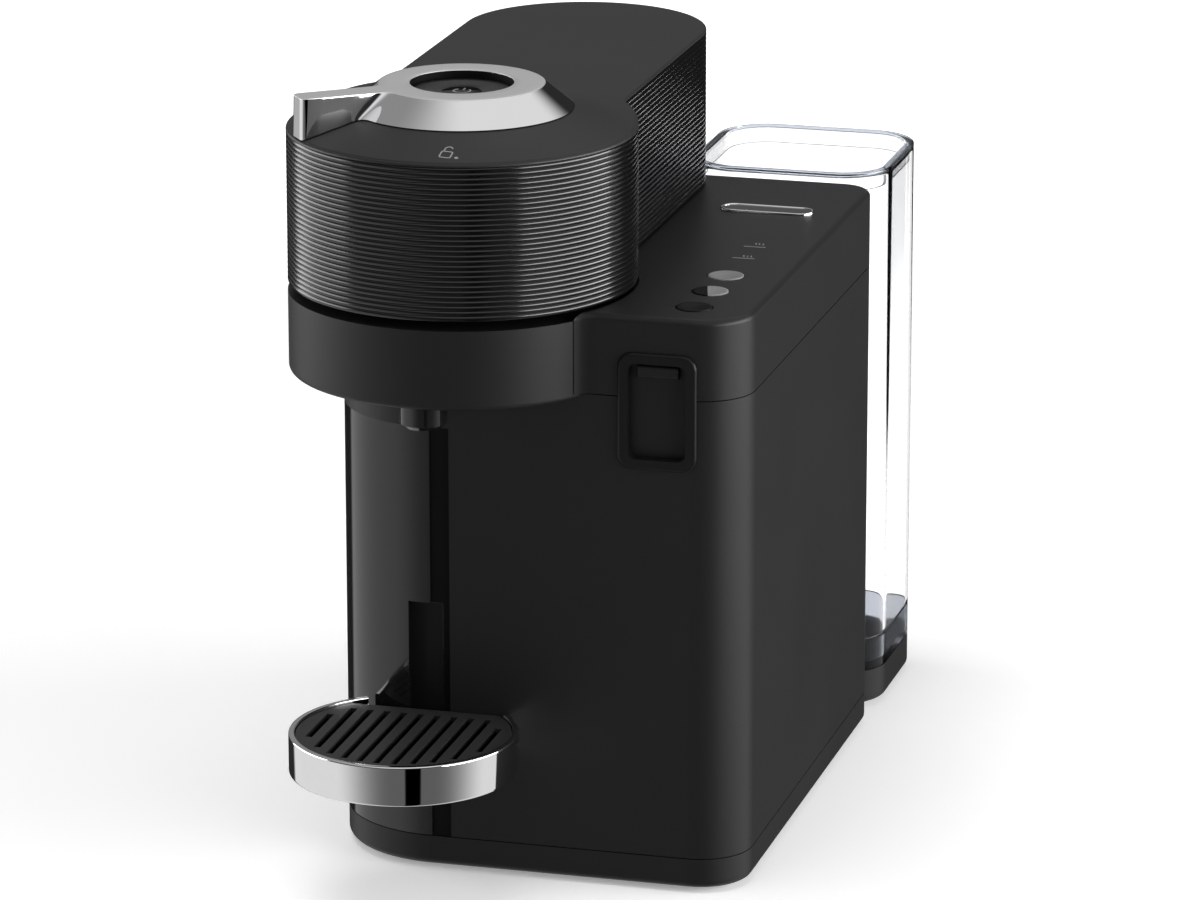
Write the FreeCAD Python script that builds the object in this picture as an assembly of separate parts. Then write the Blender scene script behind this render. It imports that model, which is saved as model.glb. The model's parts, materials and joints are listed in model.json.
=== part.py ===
import FreeCAD, Part
import math
import os

# Pod coffee machine in millimetres: x = 0 is the right side, y = 0 the front panel, z = 0 the table.
# The finished pieces are moved so that the origin is the middle of the bottom of the whole object.

# Body
body_width = 175.0
body_depth = 235.0
body_top = 237.2
upper_height = 32.6
base_top = 14.6
foot_height = 2.0
foot_radius = 9.0
wall = 2.5
seam_gap = 0.4
lip_thickness = 2.0
lip_height = 5.0
front_left_radius = 46.0
front_right_radius = 21.5
rear_right_radius = 14.0
top_edge_radius = 2.5
base_edge_radius = 3.0
base_floor = 3.0
past = 1.0
tolerance = 0.001

# Screws and feet under the base
screw_inset = 30.0
screw_behind_bin = 25.0
screw_rear_inset = 22.0
screw_radius = 1.6
screw_head_radius = 3.5
screw_head_height = 1.8
screw_head_gap = 0.2
screw_boss_radius = 4.0
screw_boss_gap = 2.0
screw_end_gap = 4.0
foot_inset = 22.0
foot_front_left = 35.2
foot_rear_left = 30.8

# Tower behind the body that carries the hinge
tower_width = 85.0
tower_margin = 9.6
tower_drop = 10.0
tower_corner_radius = 30.0
tower_overlap = 40.0

# Head, collar and lid
head_from_left = 50.6
head_setback = 38.2
head_radius = 70.0
collar_lap = 2.6
collar_step = 2.9
collar_edge_radius = 2.0
collar_blend_radius = 13.0
lid_clearance = 1.0
lid_wall_height = 60.3
lid_edge_height = 2.5
tail_rise = 3.3
tail_edge_radius = 2.5
crown_rise = 7.1
sleeve_thickness = 3.0
tail_offset = 3.8
tail_half_width = 51.4
tail_setback = 28.0
tail_blend_radius = 6.0
lid_plate_height = 24.0
lid_plate_thickness = 4.0
lid_hollow = 1.0
waist_margin = 10.0
seal_seat = 5.0
seal_inner = 5.5
seal_outer = 8.0
seal_height = 0.8

# Hinge at the rear of the lid
hinge_setback = 13.4
hinge_rise = 7.0
hinge_radius = 6.0
hinge_pin_radius = 2.5
hinge_half_width = 14.0
ear_width = 11.0
ear_gap = 0.6
notch_gap = 2.0
hinge_neck_half = 5.0
pin_end_gap = 0.5

# Lever, brew button and lock
lever_gap = 0.4
lever_height = 9.5
lever_foot_radius = 44.7
lever_ring_radius = 32.9
lever_arm_angle = 217.5
lever_arm_width = 11.5
lever_arm_reach = 68.0
lever_arm_clearance = 0.8
lever_hub_radius = 30.0
arm_edge_radius = 2.0
arm_root = 4.0
hub_gap = 1.0
cam_floor = 4.0
cam_half_width = 3.0
cam_rise = 5.0
cam_height = 4.0
button_radius = 20.1
button_gap = 0.5
button_depth = 2.6
button_dish = 1.2
button_thickness = 9.0
button_rim = 1.5
button_slope = 8.0
stem_radius = 8.0
stem_rise = 4.0
guide_drop = 2.0
spring_gap = 1.0
press_room = 2.0
turning_gap = 0.3

# Brewing parts under the lid
holder_inner_radius = 30.0
holder_wall = 3.0
holder_depth = 24.5
holder_flange = 2.5
holder_rim_height = 2.5
holder_corner = 3.0
holder_proud = 1.7
bowl_gap = 2.0
bowl_wall = 2.5
bowl_clearance = 1.0
bowl_rim_drop = 1.0
outlet_inset = 1.0
outlet_lap = 4.0
outlet_height = 10.0
outlet_wall = 2.0
shaft_radius = 4.0
shaft_fit = 0.05
bearing_radius = 11.0
bearing_height = 7.0
pulley_radius = 17.0
pulley_height = 6.5
pulley_gap = 2.0
pulley_rim = 0.6
motor_pulley_radius = 9.0
motor_radius = 20.0
motor_length = 58.0
motor_shaft_radius = 3.0
motor_shaft_setback = 8.0
motor_cap_length = 6.0
motor_x_offset = 62.4
motor_y_offset = 49.8
belt_thickness = 1.5
belt_width = 5.0
deck_thickness = 3.0
chassis_gap = 0.1
chassis_margin = 4.0
chassis_behind_bin = 3.0
bay_wall_gap = 1.0
port_room_side = 2.0
port_room_behind = 14.0
pillar_radius = 2.5
pillar_inset = 5.0
shaft_hole_gap = 2.0
bearing_gap = 1.0
bearing_seat = 0.5
injection_radius = 33.0
injection_thickness = 5.8
injection_gap = 1.2
injection_stem_radius = 6.0
injection_bearing_radius = 12.0
injection_bearing_height = 7.0
lid_skin = 0.5
needle_radius = 2.5
needle_tip_radius = 0.4
needle_length = 9.0
spout_radius = 9.4
spout_drop = 10.0
spout_chamfer = 1.6
spout_flange = 2.0
spout_flange_height = 1.5
spout_from_front = 13.8

# Capsule container, cup support and grid
bay_right = -119.7
bay_depth = 62.0
bay_gap = 0.6
bin_clearance = 2.0
bin_depth = 150.0
bin_wall = 2.0
bin_setback = 9.0
bin_corner_radius = 5.0
bin_floor_gap = 1.0
bin_side_gap = 1.0
groove_width = 8.0
groove_depth = 1.0
shelf_thickness = 3.0
shelf_margin = 2.0
support_radius = 45.7
support_x = -130.0
support_y = -30.5
support_bottom = 53.0
support_height = 16.4
support_band = 2.5
support_travel = 45.0
bracket_width = 13.0
bracket_drop = 2.0
bracket_front = 4.0
tee_gap = 2.2
tee_thickness = 2.0
tee_lap = 2.5
tray_drop = 2.5
tray_floor = 2.5
tray_foot = 6.0
tray_slope = 4.0
tray_wall = 2.0
grid_thickness = 2.0
grid_depth = 1.2
grid_slot = 3.0
grid_pitch = 7.0
grid_rim = 5.0

# Milk port
port_x = -34.2
port_frame_width = 32.1
port_drop = 14.3
port_frame_height = 47.5
port_frame_border = 4.3
port_frame_proud = 1.5
port_corner_radius = 6.0
port_edge_radius = 1.2
opening_corner_radius = 3.5
door_gap = 0.3
door_thickness = 2.0
door_travel = 31.0
lip_length = 17.0
door_lip_height = 4.9
door_lip_drop = 1.1
door_lip_setback = 0.4
door_lip_radius = 1.0
connector_radius = 6.0
connector_rise = 28.0
connector_bore = 2.2
connector_setback = 8.0
connector_tail = 12.0
connector_collar = 3.0
pocket_depth = 32.0
pocket_half_height = 12.0
pocket_wall = 1.5
pocket_inset = 2.0
rail_width = 2.0
rail_lip = 2.3
rail_stub = 1.6
rail_joint = 0.1
rail_top_gap = 2.0
rail_stop = 14.0
door_lap = 2.0

# Controls on the deck
recipe_x = -24.5
recipe_first = 20.4
recipe_pitch = 25.2
recipe_radius = 7.3
recipe_gap = 0.3
recipe_proud = 0.4
recipe_root = 1.5
recipe_flange = 1.3
recipe_flange_gap = 0.4
recipe_flange_height = 2.6
recipe_stem_radius = 3.0
recipe_stem_length = 2.5
lens_length = 9.0
lens_width = 1.4
lens_proud = 0.1
lens_first = 99.4
lens_pitch = 19.1
plate_length = 40.0
plate_width = 12.0
plate_thickness = 1.0
plate_offset = 9.5
plate_y = 179.0

# Water tank
tank_left = -85.0
tank_right = 1.5
tank_gap = 1.2
tank_depth = 84.0
tank_corner_radius = 22.0
tank_wall = 2.4
seat_bottom = 2.5
seat_top = 17.5
tank_foot_height = 13.5
tank_rise = 1.0
tank_lid_thickness = 2.0
tank_valve_radius = 7.0
valve_slot = 8.0
valve_neck = 2.0
valve_reach = 6.0
valve_head_height = 3.0
feed_bore = 2.2
seat_floor = 4.0
tank_floor = 3.0
tank_lid_gap = 0.2
tank_skirt_gap = 0.5
tank_skirt_depth = 6.0
tank_skirt_wall = 2.0

# Rear panel and cord inlet
inlet_rise = 25.0
inlet_radius = 7.0
inlet_bore = 3.5
inlet_flange = 2.0
panel_side = 4.5
panel_low_margin = 10.0
panel_high_margin = 16.0
panel_lap = 3.0
vent_count = 6
vent_rise = 90.0
vent_pitch = 9.0
vent_height = 3.0
vent_margin = 12.0

# Circuit boards
board_front = 60.0
board_rear_margin = 35.0
board_bottom = 90.0
board_height = 95.0
board_thickness = 1.6
board_peg_length = 3.4
board_peg_radius = 3.0
board_peg_inset = 6.0
control_board_gap = 1.5
control_board_half = 14.0
control_board_front = 10.0
control_board_rear = 12.0
control_peg_radius = 2.5
control_peg_inset = 3.0
control_peg_rear = 4.0
relay_place = 20.0
relay_height = 20.0
relay_length = 25.0
relay_width = 30.0
sink_height = 15.0
sink_length = 40.0
sink_width = 20.0

# Pump, heater, valve and hoses
pump_from_bay = 24.7
pump_rise = 40.0
pump_radius = 11.0
pump_length = 125.0
pump_setback = 18.0
pump_neck_radius = 5.0
pump_neck_length = 8.0
coil_half = 20.0
coil_length = 48.0
mount_half = 15.0
mount_length = 12.0
mount_inset = 8.0
heater_side_margin = 25.0
heater_width = 35.0
heater_rear_margin = 30.0
heater_length = 85.0
heater_height = 70.0
heater_foot = 4.0
heater_foot_inset = 7.0
fin_count = 6
fin_first = 10.0
fin_pitch = 12.0
fin_depth = 4.0
fin_margin = 8.0
valve_height = 26.0
valve_base_height = 14.0
valve_base_half = 14.0
valve_radius = 9.0
valve_setback = 20.0
meter_side_margin = 42.0
meter_from_heater = 32.0
meter_radius = 15.0
meter_height = 20.0
meter_nose = 4.0
tank_hose_x = -12.0
tank_hose_rise = 6.0
tank_hose_radius = 4.0
hose_bend = 9.0
hose_bore_ratio = 0.55
pump_hose_run = 14.0
pump_hose_lane = 20.0
pressure_lane = 12.0
pressure_hose_radius = 3.5
pressure_hose_bend = 8.0
steam_pipe_radius = 3.0
steam_pipe_bend = 18.0

# Places worked out from the sizes above
body_left = -body_width
lower_top = body_top - upper_height
collar_bottom = lower_top - collar_lap
spout_bottom = collar_bottom - spout_drop
head_x = body_left + head_from_left
head_y = head_setback
spout_y = head_y - head_radius + spout_from_front
deck_top = body_top - collar_step
lid_bottom = body_top + lid_clearance
sleeve_top = lid_bottom + lid_wall_height
lid_edge = sleeve_top + lid_edge_height
tail_top = lid_edge + tail_rise
crown_top = lid_edge + crown_rise
lever_bottom = crown_top + lever_gap
lever_top = lever_bottom + lever_height
tail_x = head_x + tail_offset
tail_end = body_depth - tail_setback
tower_right = body_left + tower_width
tower_rear = tail_end + tail_half_width + tower_margin
tower_front = body_depth - tower_overlap
tower_top = body_top - tower_drop
hinge_y = tail_end + tail_half_width - hinge_setback
hinge_z = lid_bottom + hinge_rise
notch_reach = hinge_radius + notch_gap
support_top = support_bottom + support_height
port_frame_top = body_top - port_drop
port_frame_bottom = port_frame_top - port_frame_height
connector_z = port_frame_bottom + connector_rise
rail_rear = wall + door_gap + door_thickness + door_gap
pocket_rear = rail_rear + pocket_depth
tank_top = body_top + tank_rise
tank_front = body_depth + tank_gap
tank_rear = tank_front + tank_depth
tank_x = (tank_left + tank_right) / 2
tank_y = (tank_front + tank_rear) / 2
tank_foot_top = seat_top + seam_gap + tank_foot_height
plate_low = lid_bottom + lid_plate_height
plate_high = plate_low + lid_plate_thickness
holder_radius = holder_inner_radius + holder_wall
holder_top = deck_top + holder_proud
holder_bottom = holder_top - holder_depth - holder_wall
bowl_radius = holder_radius + holder_flange + bowl_gap
bowl_floor_top = holder_bottom - bowl_clearance
bowl_floor_bottom = bowl_floor_top - bowl_wall
pulley_top = bowl_floor_bottom - pulley_gap
pulley_bottom = pulley_top - pulley_height
bearing_bottom = pulley_bottom - bearing_gap - bearing_height
deck_height = bearing_bottom - bearing_seat
bin_top = deck_height - bin_clearance
motor_x = head_x + motor_x_offset
motor_y = head_y + motor_y_offset
floor_z = foot_height + base_floor
screw_head_top = foot_height + screw_head_gap + screw_head_height
screw_end = base_top - screw_end_gap
inlet_z = base_top + inlet_rise
heater_right = -heater_side_margin
heater_left = heater_right - heater_width
heater_rear = body_depth - heater_rear_margin
heater_front = heater_rear - heater_length
heater_top = floor_z + heater_height
valve_y = heater_front + valve_setback
valve_top = heater_top + valve_height
pump_x = bay_right + pump_from_bay
pump_z = floor_z + pump_rise
pump_rear = heater_rear - pump_setback
pump_front = pump_rear - pump_length
meter_x = -meter_side_margin
meter_y = heater_front - meter_from_heater
tank_hose_z = floor_z + tank_hose_rise
origin_x = (head_x - head_radius + tank_right) / 2
origin_y = (support_y - support_radius + tank_rear) / 2


def point(x, y, z=0.0):
    return FreeCAD.Vector(x, y, z)


def block(x0, x1, y0, y1, z0, z1):
    return Part.makeBox(x1 - x0, y1 - y0, z1 - z0, point(x0, y0, z0))


def post(x, y, radius, z0, z1):
    return Part.makeCylinder(radius, z1 - z0, point(x, y, z0))


def ring(x, y, outer, inner, z0, z1):
    return post(x, y, outer, z0, z1).cut(post(x, y, inner, z0, z1))


def rod_y(x, z, radius, y0, y1):
    return Part.makeCylinder(radius, y1 - y0, point(x, y0, z), point(0, 1, 0))


def rod_x(y, z, radius, x0, x1):
    return Part.makeCylinder(radius, x1 - x0, point(x0, y, z), point(1, 0, 0))


def fused(shapes):
    return shapes[0].fuse(shapes[1:]).removeSplitter()


def turned(x, y, profile):
    """Revolve a closed outline of (radius, height) points about the upright line through x, y."""
    corners = [point(x + r, y, z) for r, z in profile]
    face = Part.Face(Part.makePolygon(corners + corners[:1]))
    return face.revolve(point(x, y), point(0, 0, 1), 360)


def rounded_wire(x0, x1, y0, y1, radii):
    """Closed outline of a rectangle with arcs at its front left, front right, rear right and rear left."""
    corners = ((x0, y0, 1, 1), (x1, y0, -1, 1), (x1, y1, -1, -1), (x0, y1, 1, -1))
    arcs = []
    for index, ((x, y, sx, sy), r) in enumerate(zip(corners, radii)):
        middle = r * (1 - math.sqrt(0.5))
        on_x = point(x + sx * r, y)
        on_y = point(x, y + sy * r)
        ends = (on_y, on_x) if index % 2 == 0 else (on_x, on_y)
        arcs.append((ends[0], point(x + sx * middle, y + sy * middle), ends[1]))
    edges = []
    for index, arc in enumerate(arcs):
        edges.append(Part.Arc(*arc).toShape())
        edges.append(Part.makeLine(arc[2], arcs[(index + 1) % 4][0]))
    return Part.Wire(edges)


def rounded(x0, x1, y0, y1, z0, z1, radii):
    wire = rounded_wire(x0, x1, y0, y1, radii)
    wire.translate(point(0, 0, z0))
    return Part.Face(wire).extrude(point(0, 0, z1 - z0))


def level_edges(shape, z):
    """Edges of a shape that lie level at a given height."""
    found = []
    for edge in shape.Edges:
        box = edge.BoundBox
        if abs(box.ZMin - z) < tolerance and abs(box.ZMax - z) < tolerance:
            found.append(edge)
    return found


def upright_edges_at(shape, x):
    """Upright edges of a shape that stand at a given x."""
    found = []
    for edge in shape.Edges:
        box = edge.BoundBox
        straight = box.XLength < tolerance and box.YLength < tolerance and box.ZLength > tolerance
        if straight and abs(box.XMin - x) < tolerance:
            found.append(edge)
    return found


def body_main(inset, z0, z1):
    radii = [r - inset for r in (front_left_radius, front_right_radius, rear_right_radius)]
    radii = radii + [wall + lip_thickness]
    return rounded(body_left + inset, -inset, inset, body_depth - inset, z0, z1, radii)


def body_tower(inset, z0, z1):
    radii = (wall, wall, tower_margin, tower_corner_radius - inset)
    return rounded(body_left + inset, tower_right - inset, tower_front, tower_rear - inset, z0, z1, radii)


def body_block(inset, z0, z1):
    return fused([body_main(inset, z0, z1), body_tower(inset, z0, z1)])


def body_ring(inset, thickness, z0, z1):
    return body_block(inset, z0, z1).cut(body_block(inset + thickness, z0, z1))


def lid_block(inset, z0, z1):
    """Keyhole plan of the lid: the round head and the long tail with its round end."""
    half = tail_half_width - inset
    head = post(head_x, head_y, head_radius - inset, z0, z1)
    tail = block(tail_x - half, tail_x + half, head_y, tail_end, z0, z1)
    end = post(tail_x, tail_end, half, z0, z1)
    plan = fused([head, tail, end])
    corners = upright_edges_at(plan, tail_x - half) + upright_edges_at(plan, tail_x + half)
    corners = [e for e in corners if head_y + waist_margin < e.BoundBox.YMin < tail_end - waist_margin]
    return plan.makeFillet(tail_blend_radius + inset, corners)


def head_post(radius, z0, z1):
    return post(head_x, head_y, radius, z0, z1)


def head_ring(outer, inner, z0, z1):
    return ring(head_x, head_y, outer, inner, z0, z1)


def collar_blend(low, high):
    """Concave corner between the round collar and the flat front panel."""
    radius = collar_blend_radius
    reach = head_radius + radius
    run = math.sqrt(reach ** 2 - (head_y + radius) ** 2)
    x = head_x + run
    touch = head_x + run * head_radius / reach
    corner = block(touch, x, -radius, top_edge_radius, low, high).cut(post(x, -radius, radius, low, high))
    hollow_edge = [e for e in level_edges(corner, high) if isinstance(e.Curve, Part.Circle)]
    return corner.makeFillet(top_edge_radius, hollow_edge)


def opening_low():
    return port_frame_bottom + port_frame_border


def opening_high():
    return port_frame_bottom + port_frame_height - port_frame_border


def port_opening(grow, y0, y1):
    half = port_frame_width / 2 - port_frame_border + grow
    return block(port_x - half, port_x + half, y0, y1, opening_low() - grow, opening_high() + grow)


def base_pan():
    bottom = foot_height
    shell = body_block(0, bottom, base_top - seam_gap / 2)
    shell = shell.makeFillet(base_edge_radius, level_edges(shell, bottom))
    shell = shell.cut(body_block(wall, floor_z, base_top))
    lip = body_ring(wall, lip_thickness, floor_z, base_top + lip_height)
    lip = lip.cut(bay_space(bay_gap))
    pan = shell.fuse(lip)
    for x, y in screw_places():
        pan = pan.fuse(post(x, y, screw_boss_radius, floor_z, base_top - screw_boss_gap))
    for x, y in screw_places():
        pan = pan.cut(post(x, y, screw_head_radius + door_gap, bottom, screw_head_top))
        pan = pan.cut(post(x, y, screw_radius, bottom, screw_end))
    return pan.cut(hose_hole()).removeSplitter()


def screw_places():
    left = body_left + screw_inset
    right = -screw_inset
    return ((right, screw_inset), (left, bin_depth + screw_behind_bin),
            (right, body_depth - screw_rear_inset), (left, tower_rear - screw_inset))


def base_screws():
    screws = []
    for x, y in screw_places():
        head = post(x, y, screw_head_radius, foot_height + screw_head_gap, screw_head_top)
        screws.append(head.fuse(post(x, y, screw_radius, screw_head_top, screw_end)).removeSplitter())
    return Part.makeCompound(screws)


def feet():
    places = ((-foot_inset, foot_inset), (body_left + foot_front_left, foot_front_left),
              (body_left + foot_inset, tower_rear - foot_rear_left),
              (tower_right + foot_inset, body_depth - foot_inset))
    pads = [post(x, y, foot_radius, 0, foot_height) for x, y in places]
    pads.append(post(tank_right - foot_inset, tank_rear - foot_inset, foot_radius, 0, seat_bottom))
    return Part.makeCompound(pads)


def bay_space(gap):
    """Room in the left front of the body for the capsule container."""
    return block(body_left - past, bay_right + gap, -past, bay_depth, floor_z, bin_top + gap)


def lower_housing():
    low = base_top + seam_gap / 2
    high = lower_top - seam_gap / 2
    shell = body_ring(0, wall, low, high)
    lip = body_ring(wall, lip_thickness, high - lip_height, lower_top + lip_height)
    lip = lip.cut(brew_window())
    shell = shell.fuse(lip)
    shell = shell.cut(bay_space(0))
    shell = shell.cut(port_opening(port_frame_border / 2, -past, wall + lip_thickness + past))
    shell = shell.cut(port_opening(port_frame_border, wall, wall + lip_thickness + past))
    shell = shell.cut(panel_block(0, tower_rear - wall - past, tower_rear + past))
    shell = shell.cut(hose_hole())
    return shell.removeSplitter()


def hose_hole():
    inner = body_depth - rear_right_radius
    return rod_y(tank_hose_x, tank_hose_z, tank_hose_radius + door_gap, inner, body_depth + past)


def brew_window():
    """Gap in the front wall that the outlet of the brew bowl passes through."""
    half = bowl_radius + bowl_wall
    low = lower_top - lip_height - past
    return block(head_x - half, head_x + half, -past, half, low, deck_top - 2 * wall)


def upper_housing():
    low = lower_top + seam_gap / 2
    crown = body_main(0, low, body_top)
    crown = crown.makeFillet(top_edge_radius, level_edges(crown, body_top))
    collar = head_post(head_radius + seam_gap, low, body_top).cut(body_main(0, low, body_top))
    shell = fused([crown, body_tower(0, low, tower_top), collar_blend(low, body_top).cut(collar)])
    shell = shell.cut(head_post(head_radius + turning_gap, deck_top, body_top + past))
    main_room = body_main(wall, low - past, body_top - wall)
    room = fused([main_room, body_tower(wall, low - past, tower_top - wall)])
    room = room.cut(head_post(head_radius + turning_gap + wall, deck_top - wall, body_top))
    shell = shell.cut(room)
    shell = shell.cut(head_post(bowl_radius + bowl_wall + door_gap, low, body_top))
    shell = shell.cut(brew_window())
    hole_radius = recipe_radius + recipe_gap
    for index in range(3):
        shell = shell.cut(recipe_post(index, hole_radius, body_top - 2 * wall, body_top + past))
    for shape in lens_blocks(0):
        shell = shell.cut(shape)
    return shell.cut(port_opening(port_frame_border / 2, -past, wall + lip_thickness + past)).removeSplitter()


def head_collar():
    shell = head_post(head_radius, collar_bottom, deck_top)
    shell = shell.makeFillet(collar_edge_radius, level_edges(shell, collar_bottom))
    shell = shell.cut(head_post(head_radius - wall, collar_bottom + wall, deck_top - wall))
    shell = shell.cut(body_block(0, collar_bottom - past, body_top))
    shell = shell.cut(post(head_x, spout_y, spout_radius, collar_bottom - past, collar_bottom + wall + past))
    pieces = shell.cut(head_post(bowl_radius + bowl_wall + door_gap, collar_bottom + wall, body_top)).Solids
    return max(pieces, key=lambda solid: solid.Volume)


def spout():
    neck = collar_bottom + wall
    top = neck + spout_flange_height
    flange = spout_radius + spout_flange
    body = turned(head_x, spout_y, (
        (0, spout_bottom), (spout_radius - spout_chamfer, spout_bottom),
        (spout_radius, spout_bottom + spout_chamfer),
        (spout_radius, neck), (flange, neck), (flange, top), (0, top)))
    return body.cut(post(head_x, spout_y, spout_radius / 2, spout_bottom - past, top + past))


def rear_panel():
    plate = panel_block(-door_gap, tower_rear - wall, tower_rear)
    flange = panel_block(panel_lap, tower_rear - 2 * wall, tower_rear - wall)
    panel = plate.fuse(flange)
    left = panel_left() + vent_margin
    right = panel_right() - vent_margin
    front = tower_rear - 3 * wall
    for index in range(vent_count):
        z = base_top + vent_rise + vent_pitch * index
        panel = panel.cut(block(left, right, front, tower_rear + past, z, z + vent_height))
    return panel.cut(rod_y(inlet_x(), inlet_z, inlet_radius, front, tower_rear + past)).removeSplitter()


def inlet_x():
    return (panel_left() + panel_right()) / 2


def panel_left():
    return body_left + tower_corner_radius + panel_side


def panel_right():
    return tower_right - tower_margin - wall - panel_side


def panel_block(grow, y0, y1):
    low = base_top + panel_low_margin - grow
    high = lower_top - panel_high_margin + grow
    return block(panel_left() - grow, panel_right() + grow, y0, y1, low, high)


def cord_inlet():
    inner = tower_rear - 2 * wall
    outer_radius = inlet_radius + inlet_flange
    x = inlet_x()
    gland = fused([rod_y(x, inlet_z, inlet_radius, inner, tower_rear),
                   rod_y(x, inlet_z, outer_radius, tower_rear, tower_rear + inlet_flange),
                   rod_y(x, inlet_z, outer_radius, inner - inlet_flange, inner)])
    bore_rear = tower_rear + inlet_flange + past
    return gland.cut(rod_y(x, inlet_z, inlet_bore, inner - inlet_flange - past, bore_rear))


def chassis():
    """Deck over the container bay with the bearing seat, and the walls that close the bay off."""
    top = deck_height + deck_thickness
    right = motor_x + motor_radius + chassis_margin
    rear = motor_y + motor_radius + chassis_margin
    rear_wall = bin_depth + chassis_behind_bin
    wall_x = bay_right + bay_wall_gap
    deck = body_main(wall + chassis_gap, deck_height, top)
    deck = deck.common(block(body_left, right, 0, max(rear, rear_wall), deck_height, top))
    side = block(wall_x, wall_x + wall, wall + lip_thickness + chassis_gap, rear_wall, floor_z, deck_height)
    back_left = body_left + wall + 2 * lip_thickness
    back = block(back_left, wall_x, rear_wall - wall, rear_wall, floor_z, deck_height)
    port_left = port_x - port_frame_width / 2 - port_room_side
    port_rear = pocket_rear + port_room_behind
    deck = deck.cut(block(port_left, right + past, 0, port_rear, deck_height - past, top + past))
    seat = head_post(bearing_radius + wall, top, bearing_bottom + bearing_height)
    frame = fused([deck, side, back, seat])
    reach = bowl_radius - pillar_inset
    for turn in (90, 180, 270):
        angle = math.atan2(motor_y_offset, motor_x_offset) + math.radians(turn)
        x = head_x + reach * math.cos(angle)
        y = head_y + reach * math.sin(angle)
        frame = frame.fuse(post(x, y, pillar_radius, top, bowl_floor_bottom))
    frame = frame.cut(head_post(bearing_radius, bearing_bottom, pulley_bottom))
    frame = frame.cut(head_post(shaft_radius + shaft_hole_gap, deck_height - past, bearing_bottom))
    motor_hole = post(motor_x, motor_y, motor_shaft_radius + shaft_hole_gap, deck_height - past, top + past)
    return frame.cut(motor_hole).removeSplitter()


def holder_bearing():
    top = bearing_bottom + bearing_height
    return head_ring(bearing_radius, shaft_radius + shaft_fit, bearing_bottom, top)


def brew_bowl():
    bowl = head_ring(bowl_radius + bowl_wall, bowl_radius, bowl_floor_bottom, deck_top - bowl_rim_drop)
    floor = head_ring(bowl_radius + bowl_wall, bearing_radius, bowl_floor_bottom, bowl_floor_top)
    low = collar_bottom + wall + spout_flange_height
    high = low + outlet_height
    half = spout_radius - outlet_inset
    inner = half - outlet_wall
    arm = block(head_x - half, head_x + half, spout_y - half, head_y - bowl_radius + outlet_lap, low, high)
    arm = arm.cut(head_post(bowl_radius, low, deck_top))
    duct_low = low + outlet_wall
    duct = block(head_x - inner, head_x + inner, spout_y - inner, head_y, duct_low, high - outlet_wall)
    drop = post(head_x, spout_y, spout_radius / 2, low - past, low + outlet_wall + past)
    return fused([bowl, floor, arm]).cut(duct).cut(drop).removeSplitter()


def capsule_holder():
    rim_radius = holder_radius + holder_flange
    rim_low = holder_top - holder_rim_height
    floor = holder_bottom + holder_wall
    cup = turned(head_x, head_y, (
        (0, holder_bottom), (holder_radius - holder_corner, holder_bottom),
        (holder_radius, holder_bottom + holder_corner), (holder_radius, rim_low), (rim_radius, rim_low),
        (rim_radius, holder_top), (holder_inner_radius, holder_top),
        (holder_inner_radius, floor + holder_corner), (holder_inner_radius - holder_corner, floor), (0, floor)))
    return cup.fuse(head_post(stem_radius, pulley_top, holder_bottom)).removeSplitter()


def holder_pulley():
    """Flanged belt pulley on the shaft that turns the capsule holder."""
    pulley = flanged_pulley(head_x, head_y, pulley_radius)
    return pulley.fuse(head_post(shaft_radius, deck_height, pulley_bottom)).removeSplitter()


def flanged_pulley(x, y, radius):
    body = post(x, y, radius, pulley_bottom, pulley_top)
    low = post(x, y, radius + belt_thickness, pulley_bottom, pulley_bottom + pulley_rim)
    high = post(x, y, radius + belt_thickness, pulley_top - pulley_rim, pulley_top)
    return fused([body, low, high])


def drive_motor():
    top = deck_height
    can = post(motor_x, motor_y, motor_radius, top - motor_length, top)
    cap = post(motor_x, motor_y, motor_radius / 2, top - motor_length - motor_cap_length, top - motor_length)
    bore = post(motor_x, motor_y, motor_shaft_radius + shaft_fit, top - motor_length, top)
    return can.fuse(cap).cut(bore).removeSplitter()


def motor_shaft():
    low = deck_height - motor_length + motor_shaft_setback
    shaft = post(motor_x, motor_y, motor_shaft_radius, low, pulley_bottom)
    return shaft.fuse(flanged_pulley(motor_x, motor_y, motor_pulley_radius)).removeSplitter()


def belt_plan(grow, z0, z1):
    """Outline round both pulleys: two circles and their outer tangents."""
    big = pulley_radius + grow
    small = motor_pulley_radius + grow
    reach = math.hypot(motor_x_offset, motor_y_offset)
    heading = math.atan2(motor_y_offset, motor_x_offset)
    lean = math.acos((big - small) / reach)
    corners = []
    for side in (1, -1):
        angle = heading + side * lean
        first = point(head_x + big * math.cos(angle), head_y + big * math.sin(angle), z0)
        second = point(motor_x + small * math.cos(angle), motor_y + small * math.sin(angle), z0)
        corners += [first, second] if side == 1 else [second, first]
    web = Part.Face(Part.makePolygon(corners + corners[:1])).extrude(point(0, 0, z1 - z0))
    return fused([web, head_post(big, z0, z1), post(motor_x, motor_y, small, z0, z1)])


def drive_belt():
    low = (pulley_top + pulley_bottom - belt_width) / 2
    high = low + belt_width
    return belt_plan(turning_gap + belt_thickness, low, high).cut(belt_plan(turning_gap, low, high))


def injection_head():
    bottom = holder_top + injection_gap
    top = bottom + injection_thickness
    plate = head_post(injection_radius, bottom, top)
    return plate.fuse(head_post(injection_stem_radius, top, plate_high - 2 * lid_skin)).removeSplitter()


def injection_needle():
    tip = holder_top + injection_gap - needle_length
    return Part.makeCone(needle_tip_radius, needle_radius, needle_length, point(head_x, head_y, tip))


def injection_bearing():
    low = plate_low - injection_bearing_height
    return head_ring(injection_bearing_radius, injection_stem_radius + shaft_fit, low, plate_low)


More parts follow.
